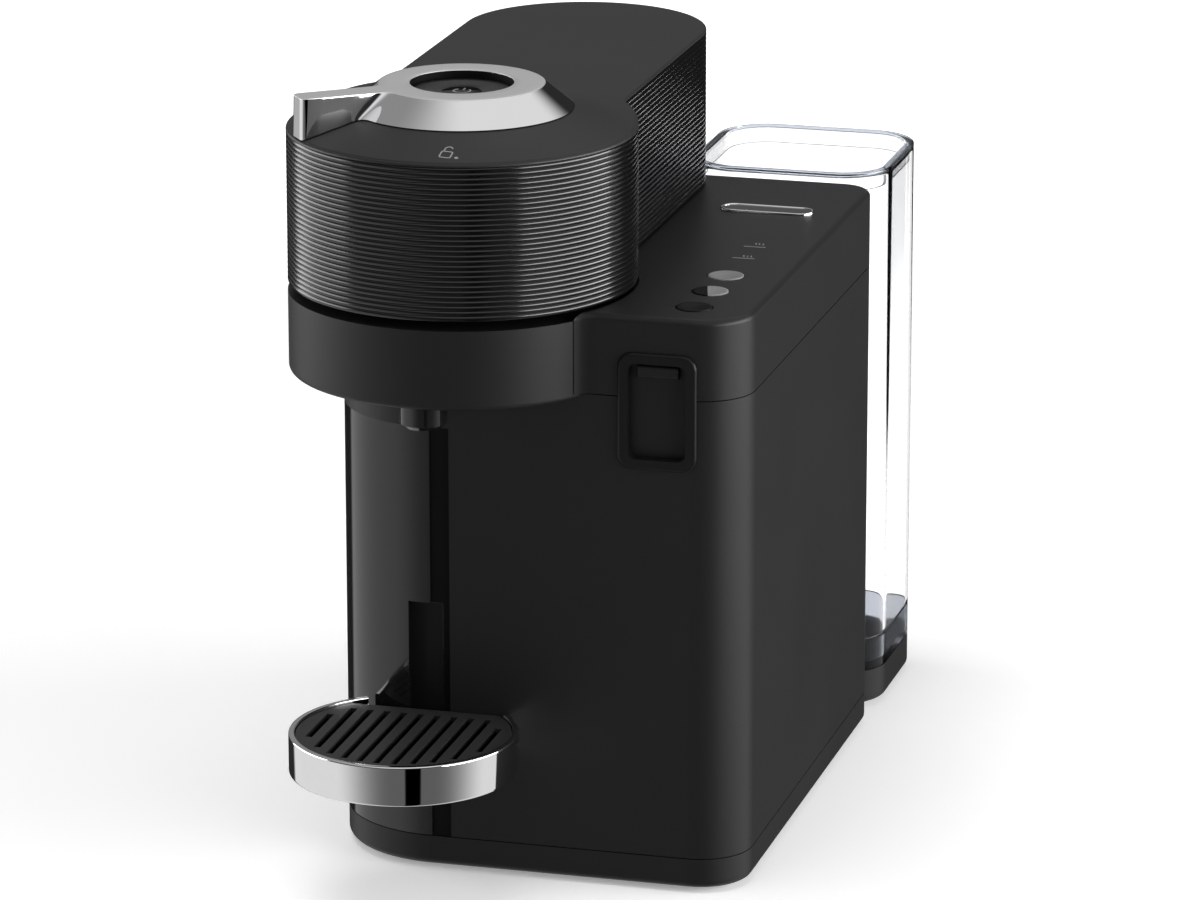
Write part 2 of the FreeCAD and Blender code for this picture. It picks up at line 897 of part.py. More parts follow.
def lid_notch():
    half = hinge_half_width + ear_gap
    top = hinge_z + notch_reach
    return block(tail_x - half, tail_x + half, hinge_y - notch_reach, tower_rear, lid_bottom - past, top)


def lid_frame():
    shell = lid_block(sleeve_thickness, lid_bottom, sleeve_top - wall)
    lower_room = lid_block(sleeve_thickness + wall, lid_bottom + wall, plate_low)
    upper_room = lid_block(sleeve_thickness + wall, plate_high, sleeve_top)
    frame = shell.cut(lower_room).cut(upper_room)
    frame = frame.cut(head_post(injection_radius + seal_seat, lid_bottom - past, lid_bottom + wall + past))
    frame = frame.cut(head_post(injection_stem_radius + shaft_fit, plate_low - past, plate_high - lid_skin))
    guide = head_ring(lever_ring_radius + wall, lever_hub_radius + turning_gap, plate_high, sleeve_top)
    stem_guide = stem_radius + turning_gap
    sleeve = head_ring(stem_guide + wall, stem_guide, plate_high, sleeve_top - guide_drop)
    frame = fused([frame, guide, sleeve])
    ears = []
    for side in (-1, 1):
        inner = tail_x + side * (hinge_half_width + ear_gap)
        outer = inner + side * ear_width
        ears.append(block(min(inner, outer), max(inner, outer), hinge_y - notch_reach, tower_rear, lid_bottom,
                          hinge_z + notch_reach))
    ears = Part.makeCompound(ears).common(lid_block(sleeve_thickness, lid_bottom, sleeve_top))
    frame = frame.fuse(ears.Solids).cut(lid_notch())
    half_pin = hinge_half_width + ear_gap + ear_width
    pin_hole = rod_x(hinge_y, hinge_z, hinge_pin_radius + shaft_fit, tail_x - half_pin, tail_x + half_pin)
    return frame.cut(pin_hole).removeSplitter()


def lid_sleeve():
    sleeve = lid_block(0, lid_bottom, sleeve_top)
    sleeve = sleeve.cut(lid_block(sleeve_thickness, lid_bottom - past, sleeve_top + past))
    return sleeve.cut(lid_notch()).removeSplitter()


def lid_top():
    """Cover of the lid: a shallow cone round the lever and a level roof over the tail."""
    crown = turned(head_x, head_y, (
        (lever_hub_radius, sleeve_top), (head_radius, sleeve_top), (head_radius, lid_edge),
        (lever_foot_radius, crown_top), (lever_hub_radius, crown_top)))
    low = sleeve_top - past
    high = tail_top + past
    reach = 2 * head_radius
    roof = lid_block(0, sleeve_top, tail_top)
    roof = roof.makeFillet(tail_edge_radius, level_edges(roof, tail_top))
    roof = roof.cut(block(head_x - reach, head_x + reach, head_y - reach, head_y, low, high))
    over_head = head_post(head_radius + past, lid_edge, high)
    lane = block(tail_x - tail_half_width, tail_x + tail_half_width, head_y, tower_rear, low, high)
    roof = roof.cut(over_head.cut(lane))
    cover = fused([crown, roof])
    hole = head_post(lever_hub_radius + turning_gap, low, crown_top + past)
    hollow = lid_block(sleeve_thickness + wall, low, sleeve_top + lid_hollow)
    hollow = hollow.cut(head_post(lever_ring_radius + wall, low, sleeve_top + lid_hollow))
    return cover.cut(hole).cut(hollow).removeSplitter()


def head_seal():
    outer = injection_radius + seal_outer
    inner = injection_radius + seal_inner
    return head_ring(outer, inner, lid_bottom - seal_height, lid_bottom)


def lever():
    hole = button_radius + button_gap
    cone = turned(head_x, head_y, (
        (hole, lever_bottom), (lever_foot_radius, lever_bottom),
        (lever_ring_radius, lever_top), (hole, lever_top)))
    slope = crown_rise / (head_radius - lever_foot_radius)
    tip_low = lid_edge + (head_radius - lever_arm_reach) * slope + lever_arm_clearance
    foot_low = crown_top + lever_arm_clearance
    inner = hole + arm_root
    half = lever_arm_width / 2
    outline = ((inner, lever_top), (lever_arm_reach, lever_top), (lever_arm_reach, tip_low),
               (lever_foot_radius, foot_low), (inner, foot_low))
    corners = [point(head_x + r, head_y - half, z) for r, z in outline]
    arm = Part.Face(Part.makePolygon(corners + corners[:1])).extrude(point(0, lever_arm_width, 0))
    arm = arm.makeFillet(arm_edge_radius, upright_edges_at(arm, head_x + lever_arm_reach))
    arm.rotate(point(head_x, head_y), point(0, 0, 1), lever_arm_angle)
    return cone.fuse(arm).removeSplitter()


def lever_hub():
    """Tube that turns with the lever, with the cam grooves of the lock round its lower end."""
    low = plate_high + hub_gap
    groove_low = low + cam_rise
    hub = head_ring(lever_hub_radius, button_radius + button_gap, low, lever_bottom)
    for turn in (0, 120, 240):
        groove = block(button_radius + cam_floor, lever_hub_radius + past, -cam_half_width, cam_half_width,
                       groove_low, groove_low + cam_height)
        groove.rotate(point(0, 0), point(0, 0, 1), turn)
        groove.translate(point(head_x, head_y))
        hub = hub.cut(groove)
    return hub


def brew_button():
    top = lever_top - button_depth
    low = top - button_thickness
    dish = top - button_dish
    cap = turned(head_x, head_y, (
        (0, low), (button_radius, low), (button_radius, top), (button_radius - button_rim, top),
        (button_radius - button_slope, dish), (0, dish)))
    return cap.fuse(head_post(stem_radius, plate_high + stem_rise, low)).removeSplitter()


def button_spring():
    """Plain sleeve that stands for the coil spring between the guide of the stem and the button."""
    high = lever_top - button_depth - button_thickness - press_room
    outer = stem_radius + turning_gap + wall
    return head_ring(outer, stem_radius + spring_gap, sleeve_top - guide_drop, high)


def hinge_block():
    half = hinge_half_width
    barrel = rod_x(hinge_y, hinge_z, hinge_radius, tail_x - half, tail_x + half)
    neck_front = hinge_y - hinge_neck_half
    neck_rear = hinge_y + hinge_neck_half
    neck = block(tail_x - half, tail_x + half, neck_front, neck_rear, tower_top, hinge_z)
    return fused([barrel, neck]).cut(rod_x(hinge_y, hinge_z, hinge_pin_radius, tail_x - half, tail_x + half))


def hinge_pin():
    half = hinge_half_width + ear_gap + ear_width - pin_end_gap
    return rod_x(hinge_y, hinge_z, hinge_pin_radius, tail_x - half, tail_x + half)


def capsule_bin():
    low = base_top + bin_floor_gap
    return bin_plan(0, low, bin_top).cut(bin_plan(bin_wall, low + bin_wall, bin_top + past))


def bin_plan(inset, z0, z1):
    left = body_left + wall + lip_thickness + bin_side_gap
    corner = bin_corner_radius - inset
    return rounded(left + inset, bay_right - bay_gap - inset, bin_setback + inset, bin_depth - inset, z0, z1,
                   (front_left_radius - bin_setback - inset, corner, corner, corner))


def container_front():
    """Rounded glossy front of the container, with the slot that guides the cup support."""
    low = base_top + seam_gap / 2
    rear = bay_depth - bay_gap
    shell = body_main(0, low, bin_top).cut(body_main(wall, low - past, bin_top + past))
    shell = shell.common(block(body_left - past, bay_right, -past, rear, low, bin_top))
    shelf_room = body_main(wall, low, bin_top).common(block(body_left, bay_right, 0, rear, low, bin_top))
    shelf_room = shelf_room.cut(bin_plan(0, low - past, bin_top + past))
    shelves = []
    for z in (low + shelf_margin, bin_top - shelf_margin - shelf_thickness):
        shelves += shelf_room.common(block(body_left, 0, 0, bay_depth, z, z + shelf_thickness)).Solids
    groove = block(bay_right - groove_width, bay_right, -past, groove_depth, low, bin_top)
    return fused([shell] + shelves).cut(groove).cut(bracket_slot())


def bracket_slot():
    half = bracket_width / 2 + bay_gap
    top = support_top - bracket_drop + support_travel + bay_gap
    return block(support_x - half, support_x + half, -past, wall + past, support_bottom - bay_gap, top)


def column_clearance():
    return body_main(-bay_gap, support_bottom - 2 * tray_drop, support_top + past)


def support_ring():
    inner = support_radius - support_band
    band = ring(support_x, support_y, support_radius, inner, support_bottom, support_top)
    return band.cut(column_clearance())


def support_tray():
    outer = support_radius - support_band
    inner = outer - tray_wall
    low = support_bottom - tray_drop
    floor = low + tray_floor
    rim = support_top - grid_depth - grid_thickness
    dish = turned(support_x, support_y, (
        (0, low), (outer - tray_foot, low), (outer, low + tray_slope), (outer, rim), (inner, rim),
        (inner, low + tray_slope + tray_wall), (inner - tray_foot + tray_wall / 2, floor), (0, floor)))
    dish = dish.cut(column_clearance())
    half = bracket_width / 2
    tee_front = wall + tee_gap
    arm = block(support_x - half, support_x + half, -bracket_front, tee_front, support_bottom, rim)
    dam = block(support_x - outer, support_x + outer, -bay_gap - tray_wall, -bay_gap, low, rim)
    dam = dam.common(post(support_x, support_y, outer, low, rim)).cut(column_clearance())
    tee_half = half + tee_lap
    tee_rear = tee_front + tee_thickness
    tee = block(support_x - tee_half, support_x + tee_half, tee_front, tee_rear, support_bottom, rim)
    return fused([dish, dam, arm, tee])


def drip_grid():
    outer = support_radius - support_band - turning_gap
    low = support_top - grid_depth - grid_thickness
    high = low + grid_thickness
    disc = post(support_x, support_y, outer, low, high)
    disc = disc.cut(block(support_x - outer, support_x + outer, -bay_gap, support_y + outer, low, high))
    inner = outer - grid_rim
    count = int((inner - past) / grid_pitch)
    for index in range(-count, count + 1):
        offset = index * grid_pitch
        reach = math.sqrt(inner ** 2 - offset ** 2)
        left = support_x + offset - grid_slot / 2
        rear = min(support_y + reach, -bay_gap - grid_rim - past)
        slot = block(left, left + grid_slot, support_y - reach, rear, low - past, high + past)
        disc = disc.cut(slot)
    return disc


def port_frame():
    half = port_frame_width / 2
    door_half = half - port_frame_border
    low = port_frame_bottom - door_travel
    rail_top = port_frame_top - rail_top_gap
    lip_rear = rail_rear + pocket_wall
    flange = frame_plate(half, port_frame_bottom, port_frame_top, port_corner_radius, -port_frame_proud, 0)
    front_edges = [edge for edge in flange.Edges if edge.BoundBox.YMax < -port_frame_proud / 2]
    flange = flange.makeFillet(port_edge_radius, front_edges)
    flange = flange.fuse(port_opening(port_frame_border / 2 - door_gap / 2, 0, wall))
    hole_front = -port_frame_proud - past
    hole_rear = wall + past
    hole = frame_plate(door_half, opening_low(), opening_high(), opening_corner_radius, hole_front, hole_rear)
    flange = flange.cut(hole)
    rails = []
    for side in (-1, 1):
        inner = port_x + side * (door_half + door_gap)
        outer = inner + side * rail_width
        stub = inner + side * rail_stub
        lip = inner - side * rail_lip
        rails.append(block(min(inner, outer), max(inner, outer), wall + rail_joint, rail_rear, low, rail_top))
        joint_rear = wall + 2 * rail_joint
        rails.append(block(min(inner, stub), max(inner, stub), 0, joint_rear, opening_low(), opening_high()))
        rails.append(block(min(lip, outer), max(lip, outer), rail_rear, lip_rear, low, rail_top))
    back_high = port_frame_bottom + rail_stop
    back = block(port_x - door_half, port_x + door_half, rail_rear, lip_rear, low, back_high)
    pocket = pocket_block(pocket_wall, rail_rear, pocket_rear)
    pocket = pocket.cut(pocket_block(0, rail_rear - past, pocket_rear - pocket_wall))
    pocket = pocket.cut(rod_y(port_x, connector_z, connector_radius, rail_rear, pocket_rear + past))
    return fused([flange] + rails + [back, pocket])


def frame_plate(half, low, high, radius, y0, y1):
    """Upright plate with rounded corners, thick along y."""
    wire = rounded_wire(port_x - half, port_x + half, low, high, (radius,) * 4)
    plate = Part.Face(wire).extrude(point(0, 0, y1 - y0))
    plate.rotate(point(0, 0), point(1, 0, 0), 90)
    plate.translate(point(0, y1, 0))
    return plate


def pocket_block(grow, y0, y1):
    half = port_frame_width / 2 - port_frame_border - pocket_inset + grow
    rise = pocket_half_height + grow
    return block(port_x - half, port_x + half, y0, y1, connector_z - rise, connector_z + rise)


def port_door():
    half = port_frame_width / 2 - port_frame_border
    front = wall + door_gap
    rear = front + door_thickness
    low = opening_low() - door_lap
    high = opening_high() + door_lap
    plate = block(port_x - half, port_x + half, front, rear, low, high)
    lip_top = opening_high() - door_lip_drop
    reach = lip_length / 2
    grip = block(port_x - reach, port_x + reach, door_lip_setback, front, lip_top - door_lip_height, lip_top)
    front_edges = [edge for edge in grip.Edges if edge.BoundBox.YMax < door_lip_setback + tolerance]
    return fused([plate, grip.makeFillet(door_lip_radius, front_edges)])


def steam_connector():
    front = rail_rear + connector_setback
    rear = pocket_rear + connector_tail
    nose = rod_y(port_x, connector_z, connector_radius, front, rear)
    collar = rod_y(port_x, connector_z, connector_radius + connector_collar, pocket_rear, pocket_rear + wall)
    bore = rod_y(port_x, connector_z, connector_bore, front - past, rear + past)
    return nose.fuse(collar).cut(bore).removeSplitter()


def recipe_post(index, radius, z0, z1):
    return post(recipe_x, recipe_first + index * recipe_pitch, radius, z0, z1)


def recipe_button(index):
    under = body_top - wall
    flange_high = under - recipe_flange_gap
    flange_low = flange_high - recipe_flange_height
    cap = recipe_post(index, recipe_radius, under - recipe_root, body_top + recipe_proud)
    flange = recipe_post(index, recipe_radius + recipe_flange, flange_low, flange_high)
    stem = recipe_post(index, recipe_stem_radius, flange_low - recipe_stem_length, flange_low)
    return fused([cap, flange, stem])


def recipe_button_front():
    return recipe_button(0)


def recipe_button_middle():
    return recipe_button(1)


def recipe_button_rear():
    return recipe_button(2)


def lens_blocks(proud):
    shapes = []
    for index in range(2):
        y = lens_first + index * lens_pitch
        shapes.append(block(recipe_x - lens_length / 2, recipe_x + lens_length / 2, y - lens_width / 2,
                            y + lens_width / 2, body_top - wall, body_top + proud))
    return shapes


def indicator_lenses():
    return Part.makeCompound(lens_blocks(lens_proud))


def trim_plate():
    x = recipe_x - plate_offset
    half = plate_length / 2
    rise = plate_width / 2
    r = rise - tolerance
    high = body_top + plate_thickness
    return rounded(x - half, x + half, plate_y - rise, plate_y + rise, body_top, high, (r, r, r, r))


def button_board():
    under = body_top - wall
    top = under - recipe_flange_gap - recipe_flange_height - recipe_stem_length - control_board_gap
    left = recipe_x - control_board_half
    right = recipe_x + control_board_half
    rear = lens_first + lens_pitch + control_board_rear
    board = block(left, right, recipe_first - control_board_front, rear, top - board_thickness, top)
    pegs = []
    for x in (left + control_peg_inset, right - control_peg_inset):
        for y in (recipe_first + recipe_pitch / 2, rear - control_peg_rear):
            pegs.append(post(x, y, control_peg_radius, top, under))
    return fused([board] + pegs)


def main_board():
    rear = body_depth - board_rear_margin
    top = board_bottom + board_height
    face = -wall - board_peg_length - board_thickness
    board = block(face, face + board_thickness, board_front, rear, board_bottom, top)
    pegs = []
    for y in (board_front + board_peg_inset, rear - board_peg_inset):
        for z in (board_bottom + board_peg_inset, top - board_peg_inset):
            start = point(-wall - board_peg_length, y, z)
            pegs.append(Part.makeCylinder(board_peg_radius, board_peg_length, start, point(1, 0, 0)))
    relay_front = board_front + relay_place
    relay_low = board_bottom + relay_place / 2
    relay_rear = relay_front + relay_length
    relay = block(face - relay_height, face, relay_front, relay_rear, relay_low, relay_low + relay_width)
    sink_rear = rear - relay_place
    sink_top = top - relay_width
    sink_front = sink_rear - sink_length
    sink = block(face - sink_height, face, sink_front, sink_rear, sink_top - sink_width, sink_top)
    return fused([board, relay, sink] + pegs)


def pump_body():
    neck_front = pump_front - pump_neck_length
    neck = rod_y(pump_x, pump_z, pump_neck_radius, neck_front, pump_rear + pump_neck_length)
    return rod_y(pump_x, pump_z, pump_radius, pump_front, pump_rear).fuse(neck).removeSplitter()


def pump_coil():
    middle = (pump_front + pump_rear) / 2
    front = middle - coil_length / 2
    rear = middle + coil_length / 2
    coil = block(pump_x - coil_half, pump_x + coil_half, front, rear, pump_z - coil_half, pump_z + coil_half)
    return coil.cut(rod_y(pump_x, pump_z, pump_radius, front - past, rear + past))


def pump_mounts():
    mounts = []
    for front in (pump_front + mount_inset, pump_rear - mount_inset - mount_length):
        rear = front + mount_length
        mount = block(pump_x - mount_half, pump_x + mount_half, front, rear, floor_z, pump_z + mount_half)
        mounts.append(mount.cut(rod_y(pump_x, pump_z, pump_radius, front - past, rear + past)))
    return Part.makeCompound(mounts)


def thermoblock():
    low = floor_z + heater_foot
    body = block(heater_left, heater_right, heater_front, heater_rear, low, heater_top)
    pieces = [body]
    for x in (heater_left + heater_foot_inset, heater_right - heater_foot_inset):
        for y in (heater_front + heater_foot_inset, heater_rear - heater_foot_inset):
            pieces.append(post(x, y, heater_foot, floor_z, low))
    for index in range(fin_count):
        front = heater_front + fin_first + fin_pitch * index
        pieces.append(block(heater_left - fin_depth, heater_left, front, front + fin_depth,
                            low + fin_margin, heater_top - fin_margin))
    return fused(pieces)


def steam_valve():
    shoulder = heater_top + valve_base_height
    base = block(port_x - valve_base_half, heater_right, valve_y - valve_base_half, valve_y + valve_base_half,
                 heater_top, shoulder)
    return base.fuse(post(port_x, valve_y, valve_radius, shoulder, valve_top)).removeSplitter()


def flow_meter():
    body = post(meter_x, meter_y, meter_radius, floor_z, floor_z + meter_height)
    start = point(meter_x - meter_radius - meter_nose, meter_y, tank_hose_z)
    nose = Part.makeCylinder(tank_hose_radius, 2 * (meter_radius + meter_nose), start, point(1, 0, 0))
    return body.fuse(nose).removeSplitter()


def hose(points, radius, bend):
    """Round hose along straight runs joined by arcs of one bend radius."""
    points = [point(*p) for p in points]
    edges = []
    start = points[0]
    for before, corner, after in zip(points, points[1:], points[2:]):
        towards = (before - corner).normalize()
        away = (after - corner).normalize()
        setback = bend / math.tan(towards.getAngle(away) / 2)
        first = corner + towards * setback
        last = corner + away * setback
        inward = (towards + away).normalize()
        middle = corner + inward * (math.hypot(bend, setback) - bend)
        edges.append(Part.makeLine(start, first))
        edges.append(Part.Arc(first, middle, last).toShape())
        start = last
    edges.append(Part.makeLine(start, points[-1]))
    path = Part.Wire(edges)
    heading = points[1] - points[0]
    outer = Part.Wire(Part.makeCircle(radius, points[0], heading))
    inner = Part.Wire(Part.makeCircle(radius * hose_bore_ratio, points[0], heading))
    tube = path.makePipeShell([outer], True, False)
    return tube.cut(path.makePipeShell([inner], True, False))


def tank_hose():
    end = meter_x + meter_radius + meter_nose
    places = ((tank_hose_x, body_depth, tank_hose_z), (tank_hose_x, meter_y, tank_hose_z),
              (end, meter_y, tank_hose_z))
    return hose(places, tank_hose_radius, hose_bend)


def pump_hose():
    start = meter_x - meter_radius - meter_nose
    turn = start - pump_hose_run
    end = pump_front - pump_neck_length
    lane = end - pump_hose_lane
    places = ((start, meter_y, tank_hose_z), (turn, meter_y, tank_hose_z), (turn, lane, tank_hose_z),
              (pump_x, lane, tank_hose_z), (pump_x, lane, pump_z), (pump_x, end, pump_z))
    return hose(places, tank_hose_radius, hose_bend)


def pressure_hose():
    lane = heater_rear + pressure_lane
    end = (heater_left + heater_right) / 2
    places = ((pump_x, pump_rear + pump_neck_length, pump_z), (pump_x, lane, pump_z), (end, lane, pump_z),
              (end, heater_rear, pump_z))
    return hose(places, pressure_hose_radius, pressure_hose_bend)


def steam_pipe():
    places = ((port_x, valve_y, valve_top), (port_x, valve_y, connector_z),
              (port_x, pocket_rear + connector_tail, connector_z))
    return hose(places, steam_pipe_radius, steam_pipe_bend)


def tank_plan(inset, z0, z1):
    r = tank_corner_radius - inset
    right = tank_right - inset
    rear = tank_rear - inset
    return rounded(tank_left + inset, right, tank_front + inset, rear, z0, z1, (r, r, r, r))


def tank_seat():
    """Shelf that the tank stands on, with a neck to the body and a slot for the valve."""
    seat = tank_plan(0, seat_bottom, seat_top)
    seat = seat.makeFillet(base_edge_radius, level_edges(seat, seat_bottom))
    neck_right = tank_hose_x + tank_hose_radius + wall
    neck_low = seat_bottom + base_edge_radius
    neck_left = tank_left + tank_corner_radius
    seat = fused([seat, block(neck_left, neck_right, body_depth, tank_y, neck_low, seat_top)])
    recess = tank_valve_radius + door_gap
    recess_low = seat_bottom + seat_floor
    slot_end = tank_y + valve_slot
    seat = seat.cut(post(tank_x, tank_y, recess, recess_low, seat_top))
    seat = seat.cut(post(tank_x, slot_end, recess, recess_low, seat_top))
    seat = seat.cut(block(tank_x - recess, tank_x + recess, tank_y, slot_end, recess_low, seat_top))
    feed = rod_y(tank_hose_x, tank_hose_z, feed_bore, body_depth, tank_y)
    cross = rod_x(tank_y, tank_hose_z, feed_bore, tank_x, tank_hose_x + feed_bore)
    return seat.cut(feed).cut(cross)


def tank_foot():
    low = seat_top + seam_gap
    floor = low + tank_floor
    foot = tank_plan(0, low, tank_foot_top)
    foot = foot.cut(tank_plan(tank_wall, floor, tank_foot_top + past))
    return foot.cut(post(tank_x, tank_y, tank_valve_radius - valve_neck, low - past, floor + past))


def water_tank():
    shell = tank_plan(0, tank_foot_top, tank_top)
    return shell.cut(tank_plan(tank_wall, tank_foot_top - past, tank_top + past))


def tank_valve():
    low = seat_top + seam_gap
    floor = low + tank_floor
    body = post(tank_x, tank_y, tank_valve_radius - valve_neck, low - valve_reach, floor)
    head = post(tank_x, tank_y, tank_valve_radius, floor, floor + valve_head_height)
    return body.fuse(head).removeSplitter()


def tank_lid():
    low = tank_top + tank_lid_gap
    skirt_low = tank_top - tank_skirt_depth
    inset = tank_wall + tank_skirt_gap
    plate = tank_plan(0, low, low + tank_lid_thickness)
    skirt = tank_plan(inset, skirt_low, low).cut(tank_plan(inset + tank_skirt_wall, skirt_low - past, low))
    return fused([plate, skirt])


NODES = (base_pan, base_screws, feet, lower_housing, upper_housing, head_collar, spout, rear_panel, cord_inlet,
         chassis, holder_bearing, brew_bowl, capsule_holder, holder_pulley, drive_motor, motor_shaft, drive_belt,
         injection_head, injection_needle, injection_bearing, lid_frame, lid_sleeve, lid_top, head_seal, lever,
         lever_hub, brew_button, button_spring, hinge_block, hinge_pin, capsule_bin, container_front,
         support_ring, support_tray, drip_grid, port_frame, port_door, steam_connector, recipe_button_front,
         recipe_button_middle, recipe_button_rear, indicator_lenses, trim_plate, button_board, main_board,
         pump_body, pump_coil, pump_mounts, thermoblock, steam_valve, flow_meter, tank_hose, pump_hose,
         pressure_hose, steam_pipe, tank_seat, tank_foot, water_tank, tank_valve, tank_lid)

os.makedirs("parts", exist_ok=True)
for make in NODES:
    shape = make()
    shape.translate(point(-origin_x, -origin_y, 0))
    bounds = shape.BoundBox
    print(make.__name__, shape.isValid(), len(shape.Solids), round(shape.Volume, 1),
          round(bounds.XMin, 1), round(bounds.XMax, 1), round(bounds.YMin, 1), round(bounds.YMax, 1),
          round(bounds.ZMin, 1), round(bounds.ZMax, 1))
    shape.exportStep("parts/" + make.__name__ + ".step")
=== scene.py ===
import json
import math

import bmesh
import bpy
import numpy as np
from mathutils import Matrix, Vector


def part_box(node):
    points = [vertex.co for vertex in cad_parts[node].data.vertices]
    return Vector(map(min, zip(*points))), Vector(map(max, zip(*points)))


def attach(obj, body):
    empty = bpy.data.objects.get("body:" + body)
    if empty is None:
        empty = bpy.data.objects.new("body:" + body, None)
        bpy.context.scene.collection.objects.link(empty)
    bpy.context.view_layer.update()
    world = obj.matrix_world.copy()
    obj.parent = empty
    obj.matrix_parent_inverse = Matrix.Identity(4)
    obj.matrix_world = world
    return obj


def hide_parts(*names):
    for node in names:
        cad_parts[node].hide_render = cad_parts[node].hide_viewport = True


bl_info = {
    "name": "Pod coffee machine",
    "version": (1, 0, 0),
    "blender": (4, 5, 0),
    "location": "View3D > Sidebar > Coffee machine",
    "description": "Fine shapes and finishes of a pod coffee machine on its packed frame",
    "category": "Object",
}

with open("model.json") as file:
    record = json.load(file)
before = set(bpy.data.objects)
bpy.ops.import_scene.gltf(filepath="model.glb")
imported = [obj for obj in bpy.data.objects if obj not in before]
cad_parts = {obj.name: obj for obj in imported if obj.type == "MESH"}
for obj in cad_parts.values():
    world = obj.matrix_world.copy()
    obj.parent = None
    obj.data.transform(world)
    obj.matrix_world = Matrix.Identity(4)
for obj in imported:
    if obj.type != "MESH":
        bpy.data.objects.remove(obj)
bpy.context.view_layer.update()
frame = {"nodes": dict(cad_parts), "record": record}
MM = 0.001


def box_mm(node):
    """Low and high corner of a CAD node in millimetres."""
    low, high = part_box(node)
    return np.array(low) / MM, np.array(high) / MM


# Places read from the frame, and sizes that several pieces share, in millimetres
SLEEVE_LOW, SLEEVE_HIGH = box_mm("lid_sleeve")
HEAD_RADIUS = (SLEEVE_HIGH[0] - SLEEVE_LOW[0]) / 2
HEAD = np.array([(SLEEVE_LOW[0] + SLEEVE_HIGH[0]) / 2, SLEEVE_LOW[1] + HEAD_RADIUS])
TOP_HIGH = box_mm("lid_top")[1]
LEVER_HIGH = box_mm("lever")[1]
BUTTON_LOW, BUTTON_HIGH = box_mm("brew_button")
PIN_LOW, PIN_HIGH = box_mm("hinge_pin")
TAIL_X = (PIN_LOW[0] + PIN_HIGH[0]) / 2
TAIL_HALF = 51.4
TAIL_END = SLEEVE_HIGH[1] - TAIL_HALF
TAIL_BLEND = 6.0
ROOF_TOP = 304.3
RIM_TOP = 301.0
ROOF_BAND = 1.4
CONE_FOOT = 44.7
LEVER_HOLE = 20.6
SKIN = 0.02


# Meshes


def grid_mesh(name, points, wrap_rows=True, wrap_columns=False):
    """Mesh of a grid of points in millimetres, one face per cell.

    Cell (i, j) joins points (i, j), (i + 1, j), (i + 1, j + 1) and (i, j + 1). A wrapped direction also joins its
    last line to its first. Points that meet at a pole are merged, and the faces are turned outwards."""
    rows, columns = points.shape[:2]
    index = np.arange(rows * columns).reshape(rows, columns)
    here = index if wrap_rows else index[:-1]
    ahead = np.roll(index, -1, 0) if wrap_rows else index[1:]
    if wrap_columns:
        cells = np.stack([here, ahead, np.roll(ahead, -1, 1), np.roll(here, -1, 1)], -1)
    else:
        cells = np.stack([here[:, :-1], ahead[:, :-1], ahead[:, 1:], here[:, 1:]], -1)
    mesh = bpy.data.meshes.new(name)
    mesh.from_pydata(points.reshape(-1, 3) * MM, [], cells.reshape(-1, 4).tolist())
    work = bmesh.new()
    work.from_mesh(mesh)
    bmesh.ops.remove_doubles(work, verts=work.verts, dist=2e-6)
    bmesh.ops.dissolve_degenerate(work, edges=work.edges, dist=1e-7)
    bmesh.ops.recalc_face_normals(work, faces=work.faces)
    work.to_mesh(mesh)
    work.free()
    mesh.shade_smooth()
    mesh.set_sharp_from_angle(angle=math.radians(38))
    return mesh


def add_piece(name, mesh, material, body, slot, *nodes):
    """Object at the origin that rides a body, takes a finish and stands for CAD nodes."""
    piece = bpy.data.objects.new(name, mesh)
    bpy.context.scene.collection.objects.link(piece)
    mesh.materials.append(material)
    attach(piece, body)
    if nodes:
        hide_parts(*nodes)
    return piece


def turned(name, centre, profile, steps=128):
    """Surface of revolution: profile (radius, height) turned about an upright axis through centre."""
    angle = np.linspace(0, 2 * np.pi, steps, endpoint=False)[:, None]
    radius, height = np.asarray(profile, float).T
    points = np.stack([centre[0] + radius * np.cos(angle), centre[1] + radius * np.sin(angle),
                       np.broadcast_to(height, (steps, len(height)))], -1)
    return grid_mesh(name, points)


def rounded_profile(corners, radii, steps=6):
    """Line through corners, each rounded by a quadratic arc that starts its radius away from the corner."""
    corners = np.asarray(corners, float)
    radii = np.asarray(radii, float)[:, None]
    before = np.roll(corners, 1, 0) - corners
    after = np.roll(corners, -1, 0) - corners
    before /= np.linalg.norm(before, axis=1, keepdims=True) + 1e-9
    after /= np.linalg.norm(after, axis=1, keepdims=True) + 1e-9
    t = np.linspace(0, 1, steps)[None, :, None]
    first = (corners + before * radii)[:, None]
    last = (corners + after * radii)[:, None]
    arcs = (1 - t) ** 2 * first + 2 * t * (1 - t) * corners[:, None] + t ** 2 * last
    return arcs.reshape(-1, corners.shape[1])


def arc(centre, radius, start, end, steps):
    """Points of an arc in plan, angles in degrees."""
    angle = np.radians(np.linspace(start, end, steps))
    return np.stack([centre[0] + radius * np.cos(angle), centre[1] + radius * np.sin(angle)], -1)


def even_path(line, count, extra=()):
    """Closed plan line resampled at equal steps of its length and at extra positions along it.

    Gives the points, their outward normals and their positions along the line."""
    closed = np.vstack([line, line[:1]])
    steps = np.linalg.norm(np.diff(closed, axis=0), axis=1)
    length = np.concatenate([[0], np.cumsum(steps)])
    where = np.sort(np.concatenate([np.linspace(0, length[-1], count, endpoint=False), extra]))
    path = np.stack([np.interp(where, length, closed[:, 0]), np.interp(where, length, closed[:, 1])], -1)
    probe = 0.5
    ahead, behind = [np.stack([np.interp((where + shift) % length[-1], length, closed[:, k]) for k in (0, 1)], -1)
                     for shift in (probe, -probe)]
    along = ahead - behind
    normal = np.stack([along[:, 1], -along[:, 0]], -1)
    return path, normal / np.linalg.norm(normal, axis=1, keepdims=True), where


